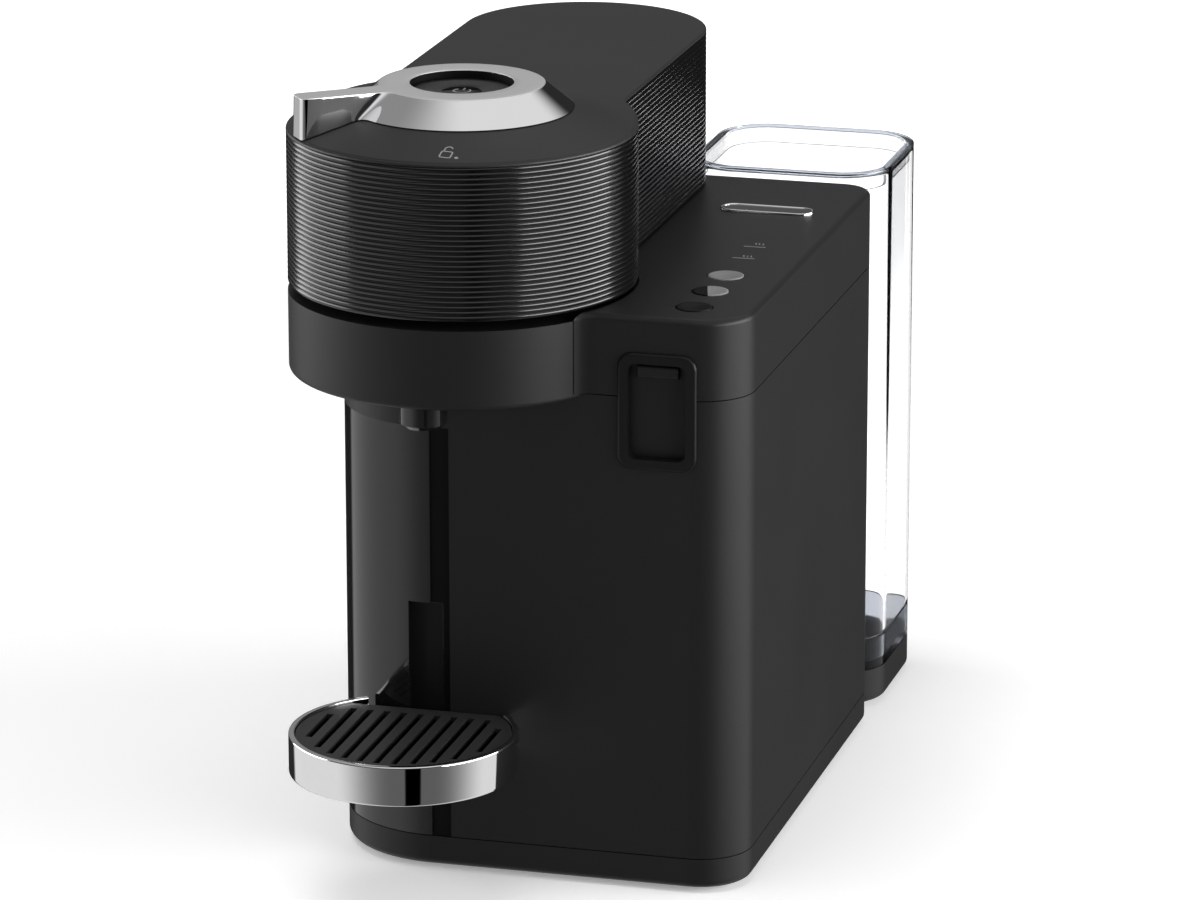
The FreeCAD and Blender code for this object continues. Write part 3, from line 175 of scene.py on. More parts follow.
def lid_plan():
    """Plan of the lid, anticlockwise: round head, concave corner, side of the tail, half round end and back."""
    reach = HEAD_RADIUS + TAIL_BLEND
    right_x = TAIL_X + TAIL_HALF + TAIL_BLEND
    left_x = TAIL_X - TAIL_HALF - TAIL_BLEND
    right_y = HEAD[1] + math.sqrt(reach ** 2 - (right_x - HEAD[0]) ** 2)
    left_y = HEAD[1] + math.sqrt(reach ** 2 - (left_x - HEAD[0]) ** 2)
    right_turn = math.degrees(math.atan2(right_y - HEAD[1], right_x - HEAD[0]))
    left_turn = math.degrees(math.atan2(left_y - HEAD[1], left_x - HEAD[0]))
    return np.vstack([
        arc((right_x, right_y), TAIL_BLEND, right_turn + 180, 180, 24),
        arc((TAIL_X, TAIL_END), TAIL_HALF, 0, 180, 160),
        arc((left_x, left_y), TAIL_BLEND, 0, left_turn - 180, 24),
        arc(HEAD, HEAD_RADIUS, left_turn, right_turn + 360, 400)])


def rounded_plan(x0, x1, y0, y1, radius, steps=20):
    """Plan of a rectangle with round corners, anticlockwise."""
    return np.vstack([
        arc((x1 - radius, y0 + radius), radius, -90, 0, steps),
        arc((x1 - radius, y1 - radius), radius, 0, 90, steps),
        arc((x0 + radius, y1 - radius), radius, 90, 180, steps),
        arc((x0 + radius, y0 + radius), radius, 180, 270, steps)])


def swept(path, normal, profile):
    """Grid of a profile (outward offset, height) carried round a plan path along its normals."""
    profile = np.asarray(profile, float)
    plan = path[:, None] + normal[:, None] * profile[None, :, :1]
    height = np.broadcast_to(profile[None, :, 1:], (len(path), len(profile), 1))
    return np.concatenate([plan, height], -1)


def layered(lines, heights):
    """Grid that joins plan lines of equal count, each at its own height."""
    plan = np.stack(lines, 1)
    height = np.broadcast_to(np.array(heights)[None, :, None], (*plan.shape[:2], 1))
    return np.concatenate([plan, height], -1)


def capped(points):
    """Grid of a tube, with each end closed to its middle."""
    first, last = [np.broadcast_to(points[k].mean(0), points[k].shape)[None] for k in (0, -1)]
    return np.concatenate([first, points, last])


def smooth_step(value, start, end):
    """0 before start, 1 after end and a smooth cubic between."""
    t = np.clip((value - start) / (end - start), 0, 1)
    return t * t * (3 - 2 * t)


# Finishes


class Value:
    """A shader socket; arithmetic on it adds Math nodes to its tree."""

    def __init__(self, finish, socket):
        self.finish = finish
        self.socket = socket

    def math(self, operation, first, second):
        return self.finish.node("ShaderNodeMath", {"operation": operation}, {0: first, 1: second}, 0)

    def __add__(self, other):
        return self.math("ADD", self, other)

    def __radd__(self, other):
        return self.math("ADD", other, self)

    def __sub__(self, other):
        return self.math("SUBTRACT", self, other)

    def __rsub__(self, other):
        return self.math("SUBTRACT", other, self)

    def __mul__(self, other):
        return self.math("MULTIPLY", self, other)

    def __rmul__(self, other):
        return self.math("MULTIPLY", other, self)

    def __truediv__(self, other):
        return self.math("DIVIDE", self, other)

    def __gt__(self, other):
        return self.math("GREATER_THAN", self, other)

    def __lt__(self, other):
        return self.math("LESS_THAN", self, other)

    def __pow__(self, other):
        return self.math("POWER", self, other)

    def maximum(self, other):
        return self.math("MAXIMUM", self, other)


class Finish:
    """The node tree of a material or of the world, under construction."""

    def __init__(self, owner):
        self.owner = bpy.data.materials.new(owner) if isinstance(owner, str) else owner
        self.owner.use_nodes = True
        self.tree = self.owner.node_tree
        self.tree.nodes.clear()

    def node(self, kind, settings=None, inputs=None, output=0):
        """Add a node: settings first, then socket values or links; returns one of its outputs."""
        item = self.tree.nodes.new(kind)
        for key, value in (settings or {}).items():
            setattr(item, key, value)
        for key, value in (inputs or {}).items():
            if isinstance(value, Value):
                self.tree.links.new(value.socket, item.inputs[key])
            else:
                item.inputs[key].default_value = value
        return Value(self, item.outputs[output]) if item.outputs else None

    def place(self):
        """Object coordinates in metres."""
        return self.node("ShaderNodeTexCoord", output="Object")

    def axis(self, name):
        """One coordinate of the surface in millimetres."""
        split = self.node("ShaderNodeSeparateXYZ", None, {0: self.place()}, name)
        return split * (1 / MM)

    def noise(self, size_mm, detail=2.0, place=None):
        """Noise of about one grain per size, from 0 to 1."""
        inputs = {"Vector": place or self.place(), "Scale": 1 / (size_mm * MM), "Detail": detail}
        return self.node("ShaderNodeTexNoise", None, inputs, "Fac")

    def step(self, value, start, end):
        """0 before start, 1 after end and smooth between."""
        inputs = {"Value": value, "From Min": start, "From Max": end}
        return self.node("ShaderNodeMapRange", {"interpolation_type": "SMOOTHSTEP"}, inputs)

    def tint(self, factor, low, high):
        """Colour between low and high by a factor."""
        inputs = {0: factor, 6: low, 7: high}
        return self.node("ShaderNodeMix", {"data_type": "RGBA"}, inputs, 2)

    def bump(self, height, distance_mm, strength=1.0):
        """Normal bent by a height field."""
        inputs = {"Height": height, "Distance": distance_mm * MM, "Strength": strength}
        return self.node("ShaderNodeBump", None, inputs)

    def light_path(self, output):
        """One fact about the ray that meets the surface."""
        return self.node("ShaderNodeLightPath", output=output)

    def straight(self):
        """1 for a ray that no mirror has turned."""
        return self.light_path("Glossy Depth") < 0.5

    def seen(self):
        """1 for a ray from the camera, also after clear pieces, and 0 after a mirror."""
        passed = self.light_path("Transmission Depth") > 0.5
        return self.light_path("Is Camera Ray").maximum(passed * self.straight())

    def surface(self, **inputs):
        """Close the material with one Principled shader; names use _ for spaces."""
        named = {key.replace("_", " "): value for key, value in inputs.items()}
        shader = self.node("ShaderNodeBsdfPrincipled", None, named)
        self.node("ShaderNodeOutputMaterial", None, {"Surface": shader})
        return self.owner


def scaled(colour, factor):
    """Colour made lighter or darker by a factor."""
    return (*[min(1.0, channel * factor) for channel in colour[:3]], 1.0)


def moulded(name, colour, roughness, grain_mm=0.35, grain=0.02, specular=0.35):
    """Moulded plastic: fine spark-eroded grain in bump and colour, with broad faint changes of gloss."""
    finish = Finish(name)
    fine = finish.noise(grain_mm, 3.0)
    broad = finish.noise(60.0, 2.0)
    return finish.surface(
        Base_Color=finish.tint(fine * 0.6 + broad * 0.4, scaled(colour, 0.82), scaled(colour, 1.18)),
        Roughness=roughness - 0.05 + 0.06 * broad + 0.05 * fine,
        Normal=finish.bump(fine, grain),
        Specular_IOR_Level=specular)


def polished(name, colour, roughness, coat=0.0, specular=0.5):
    """Polished plastic: smooth, with faint wide ripples and hardly seen wipe marks in the gloss."""
    finish = Finish(name)
    ripple = finish.noise(35.0, 1.0)
    wipes = finish.noise(4.0, 4.0)
    return finish.surface(
        Base_Color=finish.tint(wipes, scaled(colour, 0.9), scaled(colour, 1.15)),
        Roughness=roughness + 0.03 * wipes,
        Normal=finish.bump(ripple, 0.02),
        Coat_Weight=coat,
        Coat_Roughness=0.04,
        Specular_IOR_Level=specular)


def metal(name, colour, roughness, spread=0.03, grain_mm=6.0):
    """Metal with a little change of tone and roughness over the surface."""
    finish = Finish(name)
    cloud = finish.noise(grain_mm, 3.0)
    return finish.surface(
        Base_Color=finish.tint(cloud, scaled(colour, 0.95), colour),
        Roughness=roughness + spread * cloud,
        Metallic=1.0)


def chrome_with_satin_top(name, colour, top_height, hole_radius):
    """Mirror chrome whose level top face, above top_height, is satin, with a black wall round the button."""
    finish = Finish(name)
    cloud = finish.noise(5.0, 2.0)
    level = finish.axis("Z") > top_height
    x, y = finish.axis("X") - HEAD[0], finish.axis("Y") - HEAD[1]
    wall = x * x + y * y < hole_radius ** 2
    bright = finish.tint(level, colour, (0.92, 0.92, 0.93, 1.0))
    return finish.surface(
        Base_Color=finish.tint(wall, bright, (0.006, 0.006, 0.006, 1.0)),
        Roughness=0.035 + 0.02 * cloud + 0.4 * level + 0.5 * wall,
        Metallic=1 - wall,
        Specular_IOR_Level=0.05)


def clear_plastic(name, colour, roughness, bending):
    """Clear or smoky moulded plastic that light passes through."""
    finish = Finish(name)
    flow = finish.noise(40.0, 1.0)
    return finish.surface(
        Base_Color=finish.tint(flow, scaled(colour, 0.97), colour),
        Roughness=roughness + 0.02 * flow,
        Normal=finish.bump(flow, 0.03),
        Transmission_Weight=1.0,
        IOR=bending)


def two_tone_button(name, dark, light, split_mm):
    """Button cap that is dark to the left of a line and light to the right, with the line at a slight angle."""
    finish = Finish(name)
    fine = finish.noise(0.5, 2.0)
    low, high = box_mm("recipe_button_middle")
    turn = math.radians(15)
    right = (finish.axis("X") - split_mm) * math.cos(turn) + (
        finish.axis("Y") - (low[1] + high[1]) / 2) * math.sin(turn) > 0
    return finish.surface(
        Base_Color=finish.tint(right, dark, light),
        Roughness=0.42 + 0.08 * fine,
        Normal=finish.bump(fine, 0.015),
        Specular_IOR_Level=0.06)


def ribbed_finish(name, colour):
    """Semi-gloss black of the ribbed sleeve, with fine dust-grey change of tone."""
    finish = Finish(name)
    fine = finish.noise(0.8, 2.0)
    return finish.surface(
        Base_Color=finish.tint(fine, scaled(colour, 0.85), scaled(colour, 1.2)),
        Roughness=0.16 + 0.04 * fine,
        Specular_IOR_Level=0.6)


def rubber(name, colour):
    """Matt rubber with a fine dull grain."""
    return moulded(name, colour, 0.8, 0.6, 0.03, 0.2)


def copper_coil(name):
    """Varnished copper turns, wound round the long axis of the pump."""
    finish = Finish(name)
    turns = finish.node("ShaderNodeMath", {"operation": "SINE"}, {0: finish.axis("Y") * 9.0}, 0)
    return finish.surface(
        Base_Color=finish.tint(turns * 0.5 + 0.5, (0.3, 0.1, 0.04, 1), (0.6, 0.26, 0.12, 1)),
        Roughness=0.35 + 0.1 * turns,
        Metallic=0.6)


FINISHES = {}
SPECIAL_FINISH = {"port_frame": "satin_black", "port_door": "body_matte"}


def finish_for(slot):
    """The material of a slot."""
    return FINISHES[slot]


def make_finishes(colours):
    """One material for each slot of the record, and a few for details."""
    body, gloss, chrome = colours.body, colours.gloss, colours.chrome
    FINISHES.update({
        "body_matte": moulded("body matt", body, 0.42, specular=0.28),
        "lid_matte": moulded("lid matt", body, 0.46, specular=0.4),
        "satin_black": moulded("satin black", scaled(body, 0.65), 0.36, specular=0.22),
        "gloss_black": polished("gloss black", gloss, 0.08, coat=0.2),
        "ribbed_black": ribbed_finish("ribbed black", scaled(gloss, 0.4)),
        "inner_plastic": moulded("inner plastic", (0.022, 0.022, 0.023, 1), 0.5, 0.6),
        "bright_chrome": metal("bright chrome", chrome, 0.03),
        "lever_chrome": chrome_with_satin_top("lever chrome", chrome, LEVER_HIGH[2] - 0.25, LEVER_HOLE + 0.12),
        "button_black": polished("button black", scaled(gloss, 0.4), 0.16),
        "button_dark": moulded("button dark", (0.004, 0.004, 0.004, 1), 0.4, specular=0.1),
        "button_grey": moulded("button grey", (0.23, 0.23, 0.232, 1), 0.42, specular=0.2),
        "clear_tank": clear_plastic("clear tank", (0.97, 0.973, 0.98, 1), 0.02, 1.16),
        "smoke_tank": clear_plastic("smoke tank", (0.36, 0.38, 0.42, 1), 0.08, 1.3),
        # the darker blue-grey tint of the lid rim is painted shade for the dark edges of thick clear plastic
        "rim_tank_edge_shade": clear_plastic("tank rim edge shade", (0.42, 0.45, 0.5, 1), 0.03, 1.3),
        "button_split": two_tone_button("button split", (0.004, 0.004, 0.004, 1), (0.28, 0.28, 0.282, 1), 70.85),
        "rubber": rubber("rubber", (0.02, 0.02, 0.02, 1)),
        "steel": metal("steel", (0.6, 0.6, 0.6, 1), 0.25, 0.15),
        "aluminium": metal("aluminium", (0.75, 0.75, 0.76, 1), 0.35, 0.15, 3.0),
        "board": moulded("board", (0.02, 0.11, 0.05, 1), 0.4, 1.0),
        "coil": copper_coil("coil"),
        "hose": moulded("hose", (0.55, 0.55, 0.53, 1), 0.45, 1.0),
        "lens": moulded("lens", (0.16, 0.16, 0.17, 1), 0.35, 0.5),
        "mark": moulded("printed mark", (0.3, 0.3, 0.31, 1), 0.5, 0.5),
    })


# Settings


class MACHINE_PG_sizes(bpy.types.PropertyGroup):
    """Sizes of the fine shapes."""
    rib_count: bpy.props.IntProperty(name="Ribs", description="Ribs up the sleeve of the lid", default=30, min=8)
    rib_depth: bpy.props.FloatProperty(
        name="Rib depth", description="Depth of the groove between two ribs, in millimetres", default=0.46)
    arm_width: bpy.props.FloatProperty(
        name="Arm width", description="Width of the arm of the lever, in millimetres", default=11.5)
    arm_reach: bpy.props.FloatProperty(
        name="Arm reach", description="Length of the arm from the turning axis, in millimetres", default=69.6)
    arm_turn: bpy.props.FloatProperty(
        name="Arm direction", description="Direction of the arm at rest", default=math.radians(217.5),
        subtype="ANGLE")
    ring_radius: bpy.props.FloatProperty(
        name="Ring radius", description="Radius of the level top of the lever, in millimetres", default=32.9)
    foot_radius: bpy.props.FloatProperty(
        name="Foot radius", description="Radius of the foot of the cone, in millimetres", default=CONE_FOOT)


class MACHINE_PG_colours(bpy.types.PropertyGroup):
    """Colours of the finishes."""
    body: bpy.props.FloatVectorProperty(
        name="Body", description="Matt charcoal of the body", subtype="COLOR", size=4, min=0, max=1,
        default=(0.0105, 0.0105, 0.011, 1))
    gloss: bpy.props.FloatVectorProperty(
        name="Gloss", description="Gloss black of the container front and the spout", subtype="COLOR", size=4,
        min=0, max=1, default=(0.006, 0.006, 0.0065, 1))
    chrome: bpy.props.FloatVectorProperty(
        name="Chrome", description="Bright metal of the lever and the cup support", subtype="COLOR", size=4,
        min=0, max=1, default=(0.86, 0.86, 0.87, 1))


class MACHINE_PG_stage(bpy.types.PropertyGroup):
    """Camera and light."""
    lens: bpy.props.FloatProperty(name="Lens", description="Focal length in millimetres", default=188.1)
    key_power: bpy.props.FloatProperty(
        name="Key", description="Power of the left soft box", default=17.0, unit="POWER")
    side_power: bpy.props.FloatProperty(
        name="Side", description="Power of the right soft box", default=48.0, unit="POWER")
    top_power: bpy.props.FloatProperty(
        name="Top", description="Power of the overhead light", default=16.0, unit="POWER")
    ambient: bpy.props.FloatProperty(name="Ambient", description="Strength of the room light", default=0.2)


# Operators


class MACHINE_OT_finishes(bpy.types.Operator):
    """Give every CAD node the finish of its material slot"""
    bl_idname = "coffee.finishes"
    bl_label = "Finishes"

    def execute(self, context):
        make_finishes(context.scene.machine_colours)
        for part in frame["record"]["subparts"]:
            mesh = frame["nodes"][part["node"]].data
            mesh.materials.clear()
            mesh.materials.append(finish_for(SPECIAL_FINISH.get(part["node"], part["material_slot"])))
        return {"FINISHED"}


class MACHINE_OT_sleeve(bpy.types.Operator):
    """Ribbed sleeve round the lid"""
    bl_idname = "coffee.sleeve"
    bl_label = "Ribbed sleeve"

    def execute(self, context):
        sizes = context.scene.machine_sizes
        mesh = grid_mesh("ribbed_sleeve", sleeve_points(sizes.rib_count, sizes.rib_depth), True, True)
        add_piece("ribbed_sleeve", mesh, finish_for("ribbed_black"), "lid", "ribbed_black", "lid_sleeve")
        return {"FINISHED"}


def roof_height(x, y):
    """Height of the lid's top: a cone about the head axis, and a level roof that comes up to it over the tail.

    The roof comes in with a smooth step from the middle of the head to its rear."""
    radius = np.hypot(x - HEAD[0], y - HEAD[1])
    outward = np.clip((radius - CONE_FOOT) / (HEAD_RADIUS - CONE_FOOT), 0, 1.6)
    cone = TOP_HIGH[2] - (TOP_HIGH[2] - RIM_TOP) * outward
    lane = smooth_step(y, HEAD[1] + 2, HEAD[1] + 50)
    soft = 1.2
    gap = ROOF_TOP - cone
    lift = 0.5 * (gap + np.sqrt(gap ** 2 + soft ** 2))
    return cone + lane * lift


def sleeve_points(count, depth):
    """Grid of the sleeve: low round ribs up its outside, carried round the plan of the lid.

    A rib of half width w is an arc of radius r = (w^2 + depth^2) / (2 depth), and its offset is
    sqrt(r^2 - (w (2 f - 1))^2) - r, with f the place in the rib from 0 to 1. Below the hinge notch at the rear
    every height is raised to the notch, so that the wall ends there."""
    plan = lid_plan()
    steps, samples, thickness = 330, 8, 3.0
    notch_half, notch_rise, edge = 15.8, 8.0, 0.02
    notch_top = (PIN_LOW[2] + PIN_HIGH[2]) / 2 + notch_rise
    path, normal, where = even_path(plan, steps)
    at_notch = (np.abs(path[:, 0] - TAIL_X) < notch_half) & (path[:, 1] > TAIL_END)
    edges = where[at_notch]
    rear = (edges.min() + edges.max()) / 2
    turn = TAIL_HALF * math.asin(notch_half / TAIL_HALF)
    extra = [rear - turn - edge, rear - turn + edge, rear + turn - edge, rear + turn + edge]
    path, normal, where = even_path(plan, steps, extra)
    low = SLEEVE_LOW[2]
    top = roof_height(path[:, 0], path[:, 1]) - ROOF_BAND
    floor = np.where(np.abs(where - rear) < turn, notch_top, low)
    step = np.linspace(0, 1, count * samples + 1)[None, :]
    height = low + step * (top[:, None] - low)
    height = np.maximum(height, floor[:, None])
    place = (height - low) / (top[:, None] - low) * count
    part = place - np.floor(np.minimum(place, count - 1e-6))
    width = (top.mean() - low) / count / 2
    bend = (width ** 2 + depth ** 2) / (2 * depth)
    offset = np.sqrt(bend ** 2 - (width * (2 * part - 1)) ** 2) - bend - SKIN
    height = np.concatenate([height, top[:, None], floor[:, None]], 1)
    offset = np.concatenate([offset, np.full((len(path), 2), -thickness)], 1)
    points = np.empty((*height.shape, 3))
    points[..., :2] = path[:, None] + normal[:, None] * offset[..., None]
    points[..., 2] = height
    return points


class MACHINE_OT_roof(bpy.types.Operator):
    """Matt top of the lid"""
    bl_idname = "coffee.roof"
    bl_label = "Lid top"

    def execute(self, context):
        mesh = grid_mesh("lid_cover", roof_points(), True, True)
        add_piece("lid_cover", mesh, finish_for("lid_matte"), "lid", "body_matte", "lid_top")
        return {"FINISHED"}


def roof_points():
    """Grid of the lid's top: from a rounded rim over the roof to the hole of the lever, then back underneath.

    Between rim and hole a point is the straight mix of the plan and of a circle about the head axis, at the
    height of the roof there."""
    path, normal, _ = even_path(lid_plan(), 400)
    edge, hole, tuck, lip = 1.0, 30.4, 0.5, 0.3
    rim = roof_height(path[:, 0], path[:, 1])[:, None]
    turn = np.radians(np.linspace(0, 90, 8))[None, :]
    offset = np.concatenate([[[-tuck, -SKIN]], edge * (np.cos(turn) - 1) - SKIN], 1)
    edge_height = np.concatenate([rim - ROOF_BAND, rim - ROOF_BAND + lip, rim - edge * (1 - np.sin(turn))], 1)
    edge_plan = path[:, None] + normal[:, None] * offset[..., None]
    around = path - HEAD
    around = HEAD + hole * around / np.linalg.norm(around, axis=1, keepdims=True)
    mix = np.linspace(0.01, 1, 60)[None, :, None]
    over = (path - normal * edge)[:, None] * (1 - mix) + around[:, None] * mix
    plan = np.concatenate([edge_plan, over, around[:, None]], 1)
    low = np.full((len(path), 1), SLEEVE_HIGH[2])
    height = np.concatenate([edge_height, roof_height(over[..., 0], over[..., 1]), low], 1)
    return np.concatenate([plan, height[..., None]], -1)


class MACHINE_OT_lever(bpy.types.Operator):
    """Chrome lever: a cone with a level top and one flared arm"""
    bl_idname = "coffee.lever"
    bl_label = "Lever"

    def execute(self, context):
        points = lever_points(context.scene.machine_sizes)
        mesh = grid_mesh("lever_shell", points, True, True)
        add_piece("lever_shell", mesh, finish_for("lever_chrome"), "lever", "bright_chrome", "lever")
        return {"FINISHED"}


def smooth_union_reach(angle, radius, half, reach, blend):
    """Distance from the axis to the edge of a disc joined to an arm that points along angle 0.

    Signed distances of the disc and of the arm are joined by a smooth minimum, and the edge is found along each
    ray by halving the interval."""
    low = np.full_like(angle, radius * 0.9)
    high = np.full_like(angle, reach + 5.0)
    corner = 2.2
    for _ in range(40):
        middle = (low + high) / 2
        x, y = middle * np.cos(angle), middle * np.sin(angle)
        disc = middle - radius
        dx = np.abs(x - reach / 2) - reach / 2 + corner
        dy = np.abs(y) - half + corner
        arm = np.hypot(np.maximum(dx, 0), np.maximum(dy, 0)) + np.minimum(np.maximum(dx, dy), 0) - corner
        h = np.clip(0.5 + 0.5 * (arm - disc) / blend, 0, 1)
        joined = arm * (1 - h) + disc * h - blend * h * (1 - h)
        inside = joined < 0
        low = np.where(inside, middle, low)
        high = np.where(inside, high, middle)
    return (low + high) / 2


def lever_points(sizes):
    """Grid of the lever: for each direction a profile from the hole over the level top and down the slope.

    The top edge is the joined edge of the ring and the arm; the foot edge is that of the wider foot and the arm,
    and its height follows the slope of the lid under it."""
    side = np.linspace(0, 1, 150) ** 2 * np.pi
    angle = np.concatenate([-side[:0:-1], side[:-1]])
    half, blend, draft, lean = sizes.arm_width / 2, 5.0, 0.25, 0.4
    seat_gap, rim, bevel = 0.4, 0.5, 0.15

    def level(value):
        return np.full_like(angle, value)

    top_edge = smooth_union_reach(angle, sizes.ring_radius, half, sizes.arm_reach - lean, blend)
    foot_edge = smooth_union_reach(angle, sizes.foot_radius, half + draft, sizes.arm_reach, blend)
    foot_edge = np.maximum(foot_edge, top_edge + 0.2)
    top, seat = LEVER_HIGH[2], TOP_HIGH[2] + seat_gap
    slope = (TOP_HIGH[2] - RIM_TOP) / (HEAD_RADIUS - sizes.foot_radius)
    foot = seat - slope * np.clip(foot_edge - sizes.foot_radius, 0, None)
    run, drop = foot_edge - top_edge, top - foot
    shoulder = LEVER_HOLE + rim
    column = [(level(LEVER_HOLE), level(seat)), (level(LEVER_HOLE), level(top - rim)),
              (level(LEVER_HOLE + bevel), level(top - bevel)), (level(shoulder), level(top))]
    column += [(shoulder + (top_edge - rim - shoulder) * t, level(top)) for t in (0.25, 0.5, 0.75, 1.0)]
    column += [(top_edge + run * t, top + lift - drop * t) for t, lift in ((0.0, -0.12), (0.04, 0.0))]
    column += [(top_edge + run * t, top - drop * t) for t in np.linspace(0.08, 1.0, 14)]
    column += [(np.minimum(foot_edge, sizes.foot_radius) - 1.0, level(seat)), (level(LEVER_HOLE + 2.0), level(seat))]
    radius = np.stack([pair[0] for pair in column], 1)
    height = np.stack([pair[1] for pair in column], 1)
    turn = (angle + sizes.arm_turn)[:, None]
    return np.stack([HEAD[0] + radius * np.cos(turn), HEAD[1] + radius * np.sin(turn), height], -1)


class MACHINE_OT_brew_button(bpy.types.Operator):
    """Dished brew button"""
    bl_idname = "coffee.brew_button"
    bl_label = "Brew button"

    def execute(self, context):
        low, top = BUTTON_LOW[2], BUTTON_HIGH[2]
        radius = (BUTTON_HIGH[0] - BUTTON_LOW[0]) / 2
        stem, skirt, edge = 8.0, top - 9.0, 0.8
        dish, dish_lip, dish_foot, groove = 1.2, 1.2, 8.0, 0.15
        bowl = [(radius - dish_lip - (radius - dish_lip - dish_foot) * t, top - dish * math.sin(t * math.pi / 2))
                for t in np.linspace(0, 1, 14)]
        skin = [(0, low), (stem, low), (stem, skirt), (radius - 0.3, skirt), (radius, skirt + 0.3),
                (radius, top - edge), (radius - 0.25, top - 0.25), (radius - edge, top)]
        middle = [(dish_foot - 0.1, top - dish - groove), (dish_foot - 0.3, top - dish), (0, top - dish + 0.1)]
        profile = skin + bowl + middle
        add_piece("brew_button_cap", turned("brew_button_cap", HEAD, profile), finish_for("button_black"),
                  "brew_button", "button_black", "brew_button")
        return {"FINISHED"}


class MACHINE_OT_cup_support(bpy.types.Operator):
    """Chrome band of the cup support"""
    bl_idname = "coffee.cup_support"
    bl_label = "Cup support"

    def execute(self, context):
        mesh = grid_mesh("support_band", support_points(), False, True)
        add_piece("support_band", mesh, finish_for("bright_chrome"), "cup_support", "bright_chrome", "support_ring")
        return {"FINISHED"}


def support_points():
    """Grid of the band: a tall profile with round edges carried along an arc that stops short of the column."""
    low, high = box_mm("support_ring")
    radius = (high[0] - low[0]) / 2
    centre = ((low[0] + high[0]) / 2, low[1] + radius)
    thickness, steps, start, end = 2.5, 260, 126.0, 399.5
    outer, inner = radius - 0.01, radius - thickness
    corners = [(outer, low[2]), (outer, high[2]), (inner, high[2]), (inner, low[2])]
    profile = rounded_profile(corners, [1.1, 0.9, 0.5, 0.5], 7)
    turn = np.radians(np.linspace(start, end, steps))[:, None]
    outward, height = profile.T
    return capped(np.stack([centre[0] + outward * np.cos(turn), centre[1] + outward * np.sin(turn),
                            np.broadcast_to(height, (steps, len(height)))], -1))


class MACHINE_OT_gap_shade(bpy.types.Operator):
    """Painted shade: a dark strip sunk in the groove up the edge of the container front, beside the slot of the cup
    support, that stands in for the shade in that groove
    """
    bl_idname = "coffee.column"
    bl_label = "Painted gap shade"

    def execute(self, context):
        mesh = grid_mesh("gap_shade_strip", gap_shade_points(), False, True)
        # near-black finish on a sheet in the groove: painted shade for the dark gap beside the column
        add_piece("gap_shade_strip", mesh, finish_for("button_dark"), "container", "gloss_black")
        return {"FINISHED"}


def gap_shade_points():
    """Grid of the painted shade strip: a flat section carried up the column, narrow beside the slot and wide above
    and below.
    """
    low, high = box_mm("container_front")
    slot_low, slot_high, step, end_gap = 52.2, 113.2, 0.01, 0.1
    wide, narrow = high[0] - 7.98, high[0] - 2.9
    sunk, proud, thickness = 1.0, 0.03, 0.4
    height = np.array([low[2] + end_gap, slot_low, slot_low + step, slot_high - step, slot_high, high[2] - end_gap])
    left = np.array([wide, wide, narrow, narrow, wide, wide])
    right = np.full_like(left, high[0] - SKIN)
    front, behind = [np.full_like(left, low[1] + sunk + depth) for depth in (-proud, thickness)]
    x = np.stack([left, right, right, left], 1)
    y = np.stack([front, front, behind, behind], 1)
    return capped(np.stack([x, y, np.broadcast_to(height[:, None], x.shape)], -1))


class MACHINE_OT_recipe_buttons(bpy.types.Operator):
    """Three small round recipe buttons"""
    bl_idname = "coffee.recipe_buttons"
    bl_label = "Recipe buttons"

    def execute(self, context):
        finishes = {"front": "button_dark", "middle": "button_split", "rear": "button_grey"}
        for place, finish in finishes.items():
            node = f"recipe_button_{place}"
            low, high = box_mm(node)
            bottom, top = low[2], high[2]
            stem, ledge, shoulder, edge, bevel = 3, bottom + 2.5, bottom + 5.1, 0.45, 0.13
            flange = (high[0] - low[0]) / 2
            cap = flange - 1.3
            profile = [(0, bottom), (stem, bottom), (stem, ledge), (flange, ledge), (flange, shoulder),
                       (cap, shoulder), (cap, top - edge), (cap - bevel, top - bevel), (cap - edge, top),
                       (cap - 1.2, top - 0.06), (cap / 2, top - 0.5), (0, top - 0.7)]
            mesh = turned(f"recipe_cap_{place}", (low + high)[:2] / 2, profile, 96)
            slot = "button_dark" if place == "front" else "button_grey"
            add_piece(f"recipe_cap_{place}", mesh, finish_for(finish), f"recipe_{place}", slot, node)
        return {"FINISHED"}


class MACHINE_OT_trim_plate(bpy.types.Operator):
    """Blank oval plate: a bright rim round a black field"""
    bl_idname = "coffee.trim_plate"
    bl_label = "Trim plate"

    def execute(self, context):
        low, high = box_mm("trim_plate")
        radius = (high[1] - low[1]) / 2 - 0.01
        path, normal, _ = even_path(rounded_plan(low[0], high[0], low[1], high[1], radius), 160)
        base, top = low[2], high[2]
        rim_width, field_drop, bevel = 1.3, 0.4, 0.15
        rim = [(0, base), (0, top - 0.5), (-bevel, top - bevel), (-0.5, top), (-0.9, top),
               (bevel - rim_width, top - bevel), (-rim_width, top - 0.45), (-rim_width, base)]
        mesh = grid_mesh("plate_rim", swept(path, normal, rim), True, True)
        add_piece("plate_rim", mesh, finish_for("bright_chrome"), "housing", "bright_chrome", "trim_plate")
        middle = np.stack([np.clip(path[:, 0], low[0] + radius, high[0] - radius),
                           np.full(len(path), (low[1] + high[1]) / 2)], -1)
        inner = path - normal * rim_width
        field = top - field_drop
        points = layered([inner, inner, middle, middle], [base, field, field, base])
        mesh = grid_mesh("plate_field", points, True, True)
        add_piece("plate_field", mesh, finish_for("gloss_black"), "housing", "gloss_black")
        return {"FINISHED"}


